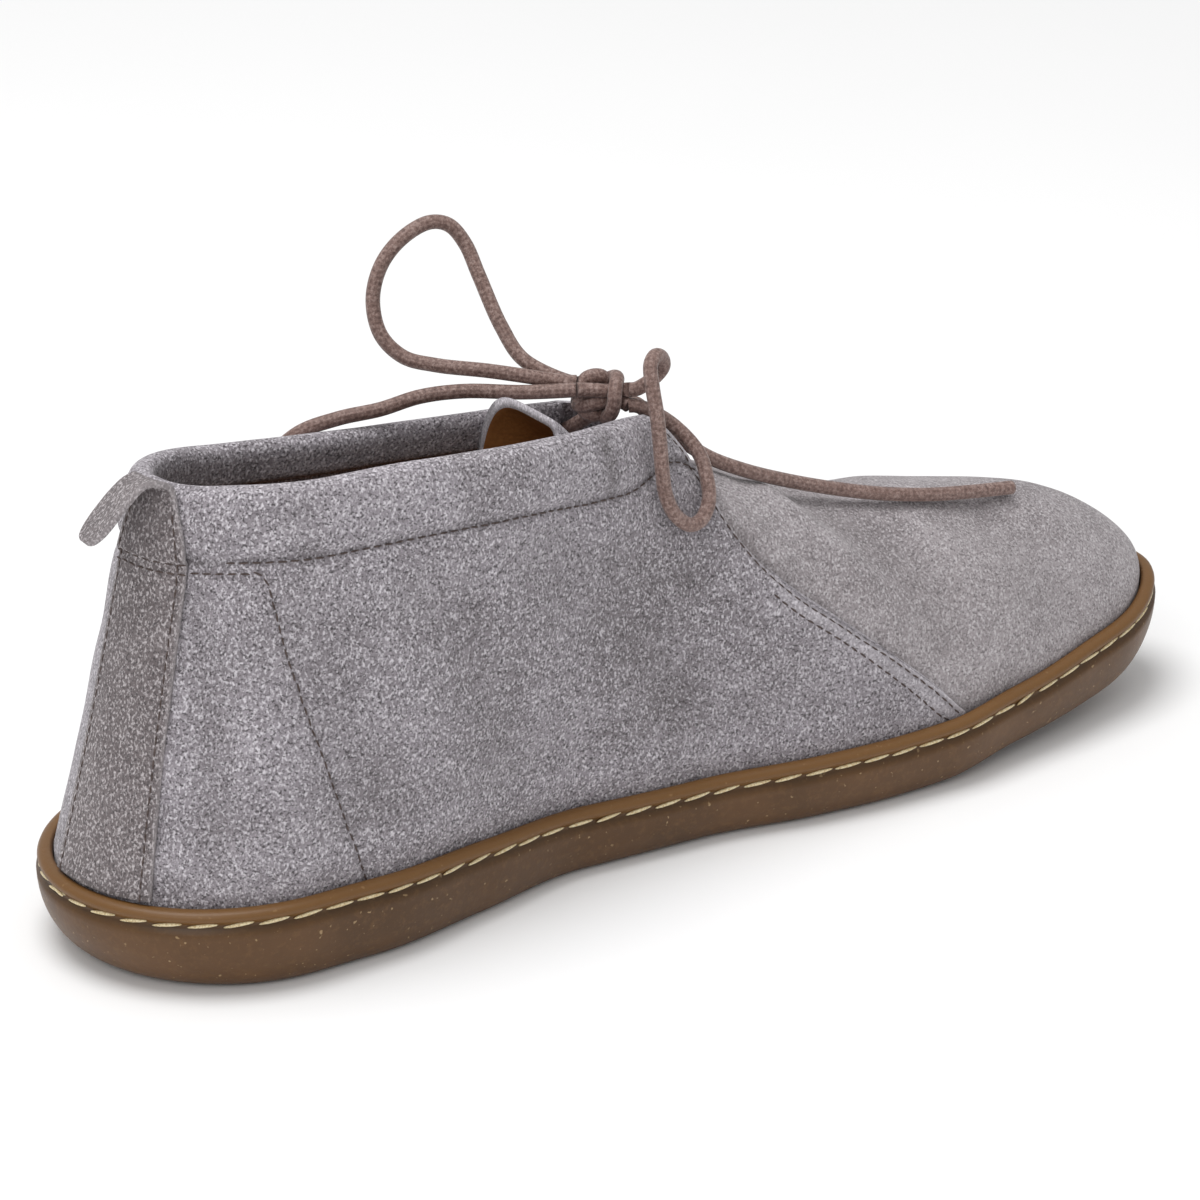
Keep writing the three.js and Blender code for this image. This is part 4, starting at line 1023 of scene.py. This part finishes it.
# %% Wind the knot
KNOT_STRANDS = [
    [[130.5, 1.9, 91.3], [131.4, 2.2, 93.4], [131.6, 0.4, 94.7], [131, -2, 95.4], [129.4, -4, 94.8],
     [128.4, -5.1, 93.5], [128, -5.4, 91.5], [127.8, -4.6, 89.3], [127.9, -2.5, 87.8], [128.7, 0, 87.9],
     [129.9, 1.5, 89.3]],
    [[131.3, 1.3, 92.1], [130.4, 1.1, 94.1], [128.8, 1, 95.4], [127.1, 1.3, 95.6], [126, 1.9, 95],
     [125.3, 2.2, 93.6], [124.9, 2, 91.8], [124.5, 1.1, 90.2], [124.6, -0.2, 88.8], [125.7, -1.2, 88.3],
     [127.6, -0.9, 88.2], [129.6, 0.3, 89.1]],
    [[129.2, -1.5, 90.9], [126.8, -2, 91.1], [125, -1.5, 90.9], [123.9, -0.2, 90.3], [124.1, 1.9, 90],
     [125.3, 3.4, 90.6], [126.9, 4, 91.2]],
    [off_knot(-1, 0.86, -1.12), [124.7, -1.6, 94], [127.2, -2.3, 93.5], [129.7, -2.2, 92.9], [131.5, -3.1, 93],
     off_knot(1, 0.6, -0.4)],
    [off_knot(-1, 0.88, 0.1), [127, 1, 93.2], [129.7, -1.2, 91.8], [131.1, -3.6, 90.9], off_knot(1, -0.5, -0.5)],
    [off_knot(-1, 0.58, 1.1), [127.5, 2.6, 92.6], [130.4, 0.8, 91.4], [132, -0.6, 90.4], off_knot(1, -0.75, 0.65)],
]
STRANDS = [smooth_route(points, 0.5) for points in KNOT_STRANDS]
KNOT_PIECE = lace_piece("lace_knot_wound", STRANDS)
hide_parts("lace_knot")


def mouth(outer):
    """Where the lace leaves the collar band's front end."""
    front = corner_share(outer) + BAND_END
    places = []
    for at in (front, front - CORNER_BACK):
        height = read(COLLAR, "rise", at) * COLLAR_HEIGHT - lip_height(at)
        places.append(quarter_points(turn_at(at, outer), 1 - 0.5 * BAND / height, np.array([4.5]))[0])
    forward = (places[0] - places[1]) / np.linalg.norm(places[0] - places[1])
    return places[0] + forward * CLEARANCE


INNER_BAR = [[135.4, -9, 83.6], [134.4, -7.1, 84], [130.8, -6.6, 84.4], [128.4, -5.4, 86.4]]
OUTER_BAR = [[127.4, 9.2, 82.2], [129, 7.2, 84], [129.9, 5, 85.9], [130.5, 2.8, 87.6]]
for name, points in (("inner", INNER_BAR), ("outer", OUTER_BAR)):
    bar = lace_piece(f"lace_bar_{name}_tube", [smooth_route([mouth(name == "outer").tolist()] + points)])
    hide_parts(f"lace_bar_{name}")
print("strands in the knot:", len(STRANDS))

# %% [markdown]
# Now the quarters and the vamp get their soft relief. Worn suede isn't smooth: it hollows where the
# ankle bends, bulges over the sole and dips along each stitched seam. Every trough below is a line of
# a few points on the skin with a width and a depth.

# %% Seam lines
def skin_line(pairs, outer=False, inset=0.0):
    """A line on the quarters through (share, up) pairs."""
    return np.array([quarter_points(turn_at(at, outer), up, np.array([inset]))[0] for at, up in pairs])


BAND_FRONT = 0.543


def band_line(below=1.0, inset=0.0):
    """The line that many shares of the band under its top edge, all around the collar."""
    ring = even_turns(turn_at(BAND_FRONT, False), turn_at(BAND_FRONT - CORNER_BACK, True) - 1, 260)
    rows = []
    for turn in ring % 1:
        at = share_at(turn)
        up = 1 - below * (1 - band_up(at, turn > 0.5))
        rows.append(quarter_points(turn, up, np.array([inset]))[0])
    return np.array(rows)


def inside_seam(distance, first_up, last_up=0.03, outer=False):
    """A line that keeps its distance in mm behind the front edge, between two heights of the edge."""
    rows = np.array(seam_rows(80))
    flat = np.column_stack([rows[:, 0] * LENGTH, rows[:, 1] * 62])
    run = np.gradient(flat, axis=0)
    run /= np.linalg.norm(run, axis=1)[:, None]
    moved = flat + distance * np.column_stack([run[:, 1], -run[:, 0]])
    keep = (rows[:, 1] <= first_up) & (rows[:, 1] >= last_up)
    pairs = [(x / LENGTH - (CORNER_BACK * z / 62 if outer else 0), max(z / 62, 0)) for x, z in moved[keep]]
    return skin_line(pairs, outer)


COUNTER = table(
    "at share up", (0, 0.08, 0.8), (1, 0.086, 0.775), (2, 0.106, 0.606), (3, 0.131, 0.43), (4, 0.161, 0.225),
    (5, 0.19, 0.0),
)


def counter_line(outer):
    steps = np.linspace(0, 5, 60)
    down = list(zip(read(COUNTER, "share", steps), read(COUNTER, "up", steps)))
    across = [(at, 0.805) for at in np.linspace(0.004 if outer else 0.03, 0.078, 20)]
    return skin_line(across + down, outer)


BAND_SEAM = band_line(1.0)
COUNTERS = [counter_line(False), counter_line(True)]
EDGE_ROWS = [inside_seam(1.4, 0.99, 0.02, outer) for outer in (False, True)]
LOWER_ROWS = [inside_seam(5.1, 0.67, 0.03, outer) for outer in (False, True)]
FRONT_EDGES = [inside_seam(0.0, 1.0, 0.0, outer) for outer in (False, True)]
LAPPED_BANDS = [inside_seam(3.2, 0.66, 0.03, outer) for outer in (False, True)]
# A dent on the band near its front that is only painted as shade; the skin isn't pushed there.
NECK_DENT_SHADE = skin_line([(0.437, 0.98), (0.437, 0.93), (0.44, 0.86)])
NOSE_LINE = np.array([foot_point(t, 0).tolist() + [lip_height(share_at(t))] for t in even_turns(0.36, 0.64, 60)])

# %% Folds of the suede
def line(*numbers):
    """A line of points in mm from a flat row of numbers, three to a point."""
    return np.array(numbers, float).reshape(-1, 3)


INNER_FOLDS = [
    (line(24.8, -17, 75.7, 23.8, -21.4, 58.9, 22.6, -24.8, 41.6, 21.5, -26.9, 27.9), 4.0, 0.9),
    (line(21.2, -15.5, 74, 18.8, -16.7, 58.4, 15, -17.8, 38.8), 4.0, -0.4),
    (line(68.9, -29.8, 71.6, 77.4, -30.5, 61.3, 84.3, -30.1, 46.5, 87.2, -28.9, 30.1), 8.0, 0.9),
    (line(96, -27, 72.5, 105.7, -26.3, 61.3, 120.6, -25.6, 48.7, 130.2, -25.9, 35.3), 7.0, 1.0),
    (line(40.8, -28.6, 69.8, 46.9, -32.1, 52.8, 54.6, -33.2, 34.1), 9.0, 0.8),
    (line(101.7, -25.4, 75.9, 111.6, -24.7, 68, 124.5, -23.4, 61.2, 134.9, -22.5, 57.3), 4.0, 0.7),
    (line(44.3, -24.1, 96, 45.1, -26.1, 90.4, 45.5, -27, 85.6), 4.0, 0.6),
    (line(80.9, -26, 94.5, 82.1, -27.4, 88.5, 84, -27.9, 84.1), 4.0, 0.7),
    (line(106.1, -22.6, 90.9, 107.8, -23.4, 85.5, 109.5, -23.7, 81), 4.0, 0.6),
    (line(13.2, -20, 25.7, 25.4, -29.4, 25.3, 43.1, -33.2, 24, 63.9, -32.5, 23.6, 90.3, -27.5, 22, 115.7, -25.6, 19.9,
          139.4, -27.1, 19.3, 163.9, -32.1, 18.7), 3.6, -0.8),
]
OUTER_FOLDS = [
    (line(42, 24, 76, 48, 30, 56, 52, 33, 34), 9.0, 0.8),
    (line(78, 26, 70, 88, 32, 54, 96, 36, 34), 8.0, 0.9),
    (line(108, 22, 72, 120, 30, 56, 130, 36, 36), 7.0, 0.8),
    (line(14, 16, 70, 12, 18, 50, 12, 20, 32), 5.0, 0.5),
    (line(26, 29, 24, 60, 34, 23, 100, 38, 21, 140, 42, 19, 170, 43, 18), 3.6, -0.8),
]
VAMP_FOLDS = [
    (line(162.9, -11.1, 65.6, 168.6, -16.8, 59.5, 174.2, -20.6, 53.9, 178.4, -23.8, 48.4), 4.0, -0.9),
    (line(144.7, -17.3, 69.7, 151.3, -18.6, 63, 157.9, -21.9, 56), 4.0, -0.7),
    (line(170.7, -7.6, 63.4, 176.4, -14.1, 59, 183.2, -19, 53.5), 5.0, 1.1),
    (line(188.7, -22.3, 48.8, 193.6, -26.5, 42.2, 194.7, -30.6, 32), 6.0, 1.0),
    (line(215.5, -17, 49.8, 222.8, -23.7, 41.1, 228.6, -27.3, 31.7), 8.0, 0.8),
    (line(163, 10, 66, 168, 18, 60, 175, 25, 52, 182, 31, 42), 5.0, 0.9),
    (line(178, 4, 62, 184, 14, 57, 192, 24, 48), 5.0, -0.6),
]
print("folds by hand:", len(INNER_FOLDS) + len(OUTER_FOLDS) + len(VAMP_FOLDS))

# %% Shape the suede
DEEPEST, HIGHEST = -1.2, 1.6


def folded(points, folds):
    return sum(press(points, [route], width, depth) for route, width, depth in folds)


def near(points, lines, width):
    """1 on any of the lines and less with distance, within about twice the width in mm."""
    return np.exp(-((np.min([far_from(points, np.asarray(route)) for route in lines], axis=0) / width) ** 2))


def shape_quarters():
    points = places_mm(QUARTERS)
    out = values_of(QUARTERS, "out") > 0.5
    ups = values_of(QUARTERS, "up")
    inward = 0.5 * near(points, [BAND_SEAM], 1.5) + 0.3 * near(points, COUNTERS, 1.2)
    inward += 0.25 * near(points, EDGE_ROWS, 0.9) + 0.35 * near(points, LOWER_ROWS, 1.3)
    slow = unevenness(points, 30, 0.7) + unevenness(points + 50, 12, 0.35)
    folds = folded(points, INNER_FOLDS + OUTER_FOLDS)
    slow -= 1.5 * folds
    fade = np.sin(math.pi * np.clip(ups, 0.03, 0.97)) ** 0.5
    push(QUARTERS, np.where(out, np.clip(slow * fade - inward, DEEPEST, HIGHEST), 0))
    # Paler front cut edges, partly a painted highlight where the edge catches light, and a painted highlight on the
    # raised band between the front seam's two rows.
    lapped = near(points, LAPPED_BANDS, 1.7)
    paint(QUARTERS, "pale_edge_and_highlight", 0.45 * near(points, FRONT_EDGES, 0.9) + 0.22 * lapped)
    # Painted shade: in the dips along the stitched seams, towards the front and the bottom of the quarters, in the
    # folds and in a dent on the band near its front.
    shade = 0.4 * near(points, [BAND_SEAM], 0.6) + 0.3 * near(points, COUNTERS + EDGE_ROWS, 0.5)
    shade += 0.13 * ease(95, 140, points[:, 0]) + 0.1 * ease(50, 20, points[:, 2])
    shade += 0.2 * np.clip(folds, -0.35, 1) + 0.5 * near(points, [NECK_DENT_SHADE], 2.2)
    paint(QUARTERS, "shade", np.where(out, shade, 0))


def shape_vamp():
    points = places_mm(VAMP_PIECE)
    out = values_of(VAMP_PIECE, "out") > 0.5
    folds = folded(points, VAMP_FOLDS)
    slow = unevenness(points + 20, 28, 0.7) + unevenness(points, 11, 0.3) - 1.5 * folds
    slow = np.clip(slow * (1 - near(points, [NOSE_LINE], 5.0)), DEEPEST, HIGHEST)
    push(VAMP_PIECE, np.where(out, slow, 0))
    # Painted shadow along the quarters' front edges, which lie over the vamp, and painted shade in the vamp's folds.
    shade = 0.6 * near(points, FRONT_EDGES, 1.3) + 0.15 * np.clip(folds, 0, 1)
    paint(VAMP_PIECE, "shade", np.where(out, shade, 0))


shape_quarters()
shape_vamp()

# %% [markdown]
# Stitches repeat along a path, which is what Geometry Nodes are for. The tree takes a line with its
# surface normals, puts points on it at an even pitch, and lays one small spindle of thread along the
# line at each. A slight slant and a seeded jitter keep the row from looking drawn with a ruler.

# %% A tree for rows of stitches
def stitch_tree():
    tree = bpy.data.node_groups.new("row_of_stitches", "GeometryNodeTree")
    face = tree.interface
    face.new_socket("Line", in_out="INPUT", socket_type="NodeSocketGeometry")
    for name in ("Pitch", "Stitch length", "Thickness", "Slant"):
        face.new_socket(name, in_out="INPUT", socket_type="NodeSocketFloat")
    face.new_socket("Seed", in_out="INPUT", socket_type="NodeSocketInt")
    face.new_socket("Thread", in_out="INPUT", socket_type="NodeSocketMaterial")
    face.new_socket("Stitches", in_out="OUTPUT", socket_type="NodeSocketGeometry")
    given = add(tree, "NodeGroupInput").outputs
    curve = add(tree, "GeometryNodeMeshToCurve", {0: given["Line"]}).outputs[0]
    spaced = add(tree, "GeometryNodeResampleCurve", {"Curve": curve, "Length": given["Pitch"]}, mode="LENGTH").outputs[0]
    lie = add(tree, "GeometryNodeInputNamedAttribute", {"Name": "lie"}, data_type="FLOAT_VECTOR").outputs["Attribute"]
    along = add(tree, "GeometryNodeInputTangent").outputs[0]
    sideways = add(tree, "ShaderNodeVectorMath", {0: lie, 1: along}, operation="CROSS_PRODUCT").outputs[0]
    slanted = {0: sideways, "Scale": given["Slant"]}
    slanted = add(tree, "ShaderNodeVectorMath", slanted, operation="SCALE").outputs[0]
    way = add(tree, "ShaderNodeVectorMath", {0: along, 1: slanted}, operation="ADD").outputs[0]
    jitter = {"Min": (-0.09, -0.09, -0.09), "Max": (0.09, 0.09, 0.09), "Seed": given["Seed"]}
    jitter = add(tree, "FunctionNodeRandomValue", jitter, data_type="FLOAT_VECTOR").outputs[0]
    way = add(tree, "ShaderNodeVectorMath", {0: way, 1: jitter}, operation="ADD").outputs[0]
    aligned = add(tree, "FunctionNodeAlignRotationToVector", {"Vector": way}, axis="Z").outputs[0]
    size = {0: given["Thickness"], 1: given["Thickness"], 2: given["Stitch length"]}
    size = add(tree, "ShaderNodeCombineXYZ", size).outputs[0]
    spindle = add(tree, "GeometryNodeMeshUVSphere", {"Segments": 7, "Rings": 6, "Radius": 0.5}).outputs[0]
    rows = {"Points": spaced, "Instance": spindle, "Rotation": aligned, "Scale": size}
    rows = add(tree, "GeometryNodeInstanceOnPoints", rows).outputs[0]
    solid = add(tree, "GeometryNodeRealizeInstances", {0: rows}).outputs[0]
    smooth = add(tree, "GeometryNodeSetShadeSmooth", {0: solid}).outputs[0]
    dressed = add(tree, "GeometryNodeSetMaterial", {"Geometry": smooth, "Material": given["Thread"]}).outputs[0]
    add(tree, "NodeGroupOutput", {0: dressed})
    return tree


STITCHES = stitch_tree()

# %% Thread
def twisted_thread(name, body, dark, gloss):
    """Twisted polyester sewing thread: a soft shine and fine grooves between its plies, painted darker as shade."""
    made, tree, shader = new_material(name, Roughness=gloss, Specular_IOR_Level=0.35)
    plies = grain(tree, 0.4, detail=2, rough=0.6)
    # Painted shade: darker in the grooves between the plies.
    tone = blend_colour(tree, spread(tree, plies, 0.35, 0.6), colour(dark), colour(body))
    tree.links.new(tone, shader.inputs["Base Color"])
    bumps(tree, shader, plies, 0.08)
    return made


CREAM_THREAD = twisted_thread("twisted_cream_thread", "e9dcb8", "c4ab7c", 0.5)
BROWN_THREAD = twisted_thread("twisted_brown_thread", "5a4d49", "3a2f2c", 0.7)

# %% Sew
def on_skin(line, piece, lift):
    """Puts a line on the finished skin of a piece, with the skin's normals."""
    mesh = piece.data
    tree = BVHTree.FromPolygons([v.co for v in mesh.vertices], [p.vertices for p in mesh.polygons])
    rows = []
    for point in metres(line):
        place, way, _, _ = tree.find_nearest(Vector(point))
        rows.append((place + way * lift / 1000, way))
    return rows


def sew(name, lines, thread, pitch, length, thickness, slant=0.0, seed=1):
    """Rows of stitches along lines of (place, normal) pairs; sizes in mm."""
    mesh = bpy.data.meshes.new(name)
    places, ways, edges = [], [], []
    for line in lines:
        edges += [(len(places) + k, len(places) + k + 1) for k in range(len(line) - 1)]
        places += [place for place, _ in line]
        ways += [way for _, way in line]
    mesh.from_pydata(places, edges, [])
    layer = mesh.attributes.new("lie", "FLOAT_VECTOR", "POINT")
    layer.data.foreach_set("vector", np.array(ways, np.float32).ravel())
    holder = bpy.data.objects.new(name + "_line", mesh)
    bpy.context.scene.collection.objects.link(holder)
    modifier = holder.modifiers.new("stitches", "NODES")
    modifier.node_group = STITCHES
    given = {
        "Pitch": pitch / 1000, "Stitch length": length / 1000, "Thickness": thickness / 1000, "Slant": slant,
        "Seed": seed, "Thread": thread,
    }
    for item in STITCHES.interface.items_tree:
        if item.in_out == "INPUT" and item.name in given:
            modifier[item.identifier] = given[item.name]
    ready = holder.evaluated_get(bpy.context.evaluated_depsgraph_get())
    piece = bpy.data.objects.new(name, bpy.data.meshes.new_from_object(ready))
    holder.modifiers.remove(modifier)
    bpy.data.objects.remove(holder)
    bpy.context.scene.collection.objects.link(piece)
    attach(piece, "root")
    print(name, "faces:", len(piece.data.polygons))
    return piece


def sole_line():
    turns = even_turns(0.0, 1.0, 400)
    return np.array([np.append(edge_point(t % 1, 0.95), stitch_height(share_at(t)) - 0.1) for t in turns])


sew("sole_stitches", [on_skin(sole_line(), SOLE_PIECE, 0.15)], CREAM_THREAD, 6.9, 6.2, 0.8, 0.1, 3)
def off_strip(route):
    """The parts of a line around the heel that the strip doesn't cover."""
    kept = [(p[0] > 45) or abs(p[1] + STRIP_SHIFT) > 11.5 for p in route]
    split = kept.index(False), len(kept) - kept[::-1].index(False)
    return [route[: split[0]], route[split[1] :]]


def strip_line(across, ups):
    """A line on the strip: across from -1 to 1 at each height."""
    widths = np.interp(ups, STRIP_ROWS["up"], STRIP_ROWS["width"])
    return np.array([strip_points(a, [up], [w], STRIP)[0] for a, up, w in zip(across, ups, widths)])


upper_lines = off_strip(BAND_SEAM) + COUNTERS + EDGE_ROWS + LOWER_ROWS
sew(
    "upper_stitches", [on_skin(np.array(route), QUARTERS, 0.0) for route in upper_lines], BROWN_THREAD,
    2.4, 1.9, 0.42, 0.0, 5,
)
strip_lines = [strip_line(np.full(60, side), np.linspace(0.02, 0.94, 60)) for side in (-0.86, 0.86)]
strip_lines += [strip_line(np.linspace(-0.95, 0.95, 24), np.full(24, up)) for up in (0.808, 0.832)]
sew(
    "heel_strip_stitches", [on_skin(route, HEEL_PIECE, 0.0) for route in strip_lines], BROWN_THREAD,
    2.4, 1.9, 0.42, 0.0, 6,
)

# %% [markdown]
# The shoe stands on a white floor under soft white light from all around, with one large lamp above
# to give it a gentle shadow. The floor isn't part of the object.

# %% Floor and light
def add_floor():
    made, tree, shader = new_material("matt_white_board", Roughness=0.9, Specular_IOR_Level=0.1)
    tone = blend_colour(tree, spread(tree, grain(tree, 300), 0.3, 0.7), colour("f7f7f7"), colour("f9f9f9"))
    tree.links.new(tone, shader.inputs["Base Color"])
    mesh = bpy.data.meshes.new("floor")
    mesh.from_pydata([(-3, -3, 0), (3, -3, 0), (3, 3, 0), (-3, 3, 0)], [], [(0, 1, 2, 3)])
    mesh.materials.append(made)
    floor = bpy.data.objects.new("floor", mesh)
    bpy.context.scene.collection.objects.link(floor)


def add_lamp(name, place, size, watts):
    data = bpy.data.lights.new(name, "AREA")
    data.shape, data.size, data.energy = "DISK", size, watts
    lamp = bpy.data.objects.new(name, data)
    turn = (-Vector(place)).to_track_quat("-Z", "Y").to_matrix().to_4x4()
    lamp.matrix_world = Matrix.Translation(place) @ turn
    bpy.context.scene.collection.objects.link(lamp)


add_floor()
add_lamp("lamp_above", (-0.3, 0.1, 1.6), 1.0, 15)
add_lamp("lamp_left", (-1.2, -0.9, 1.2), 0.9, 5.5)
world = bpy.data.worlds.new("white_studio")
world.use_nodes = True
world.node_tree.nodes["Background"].inputs[0].default_value = (1, 1, 1, 1)
world.node_tree.nodes["Background"].inputs[1].default_value = 0.58
bpy.context.scene.world = world
bpy.context.scene.view_settings.view_transform = "Standard"
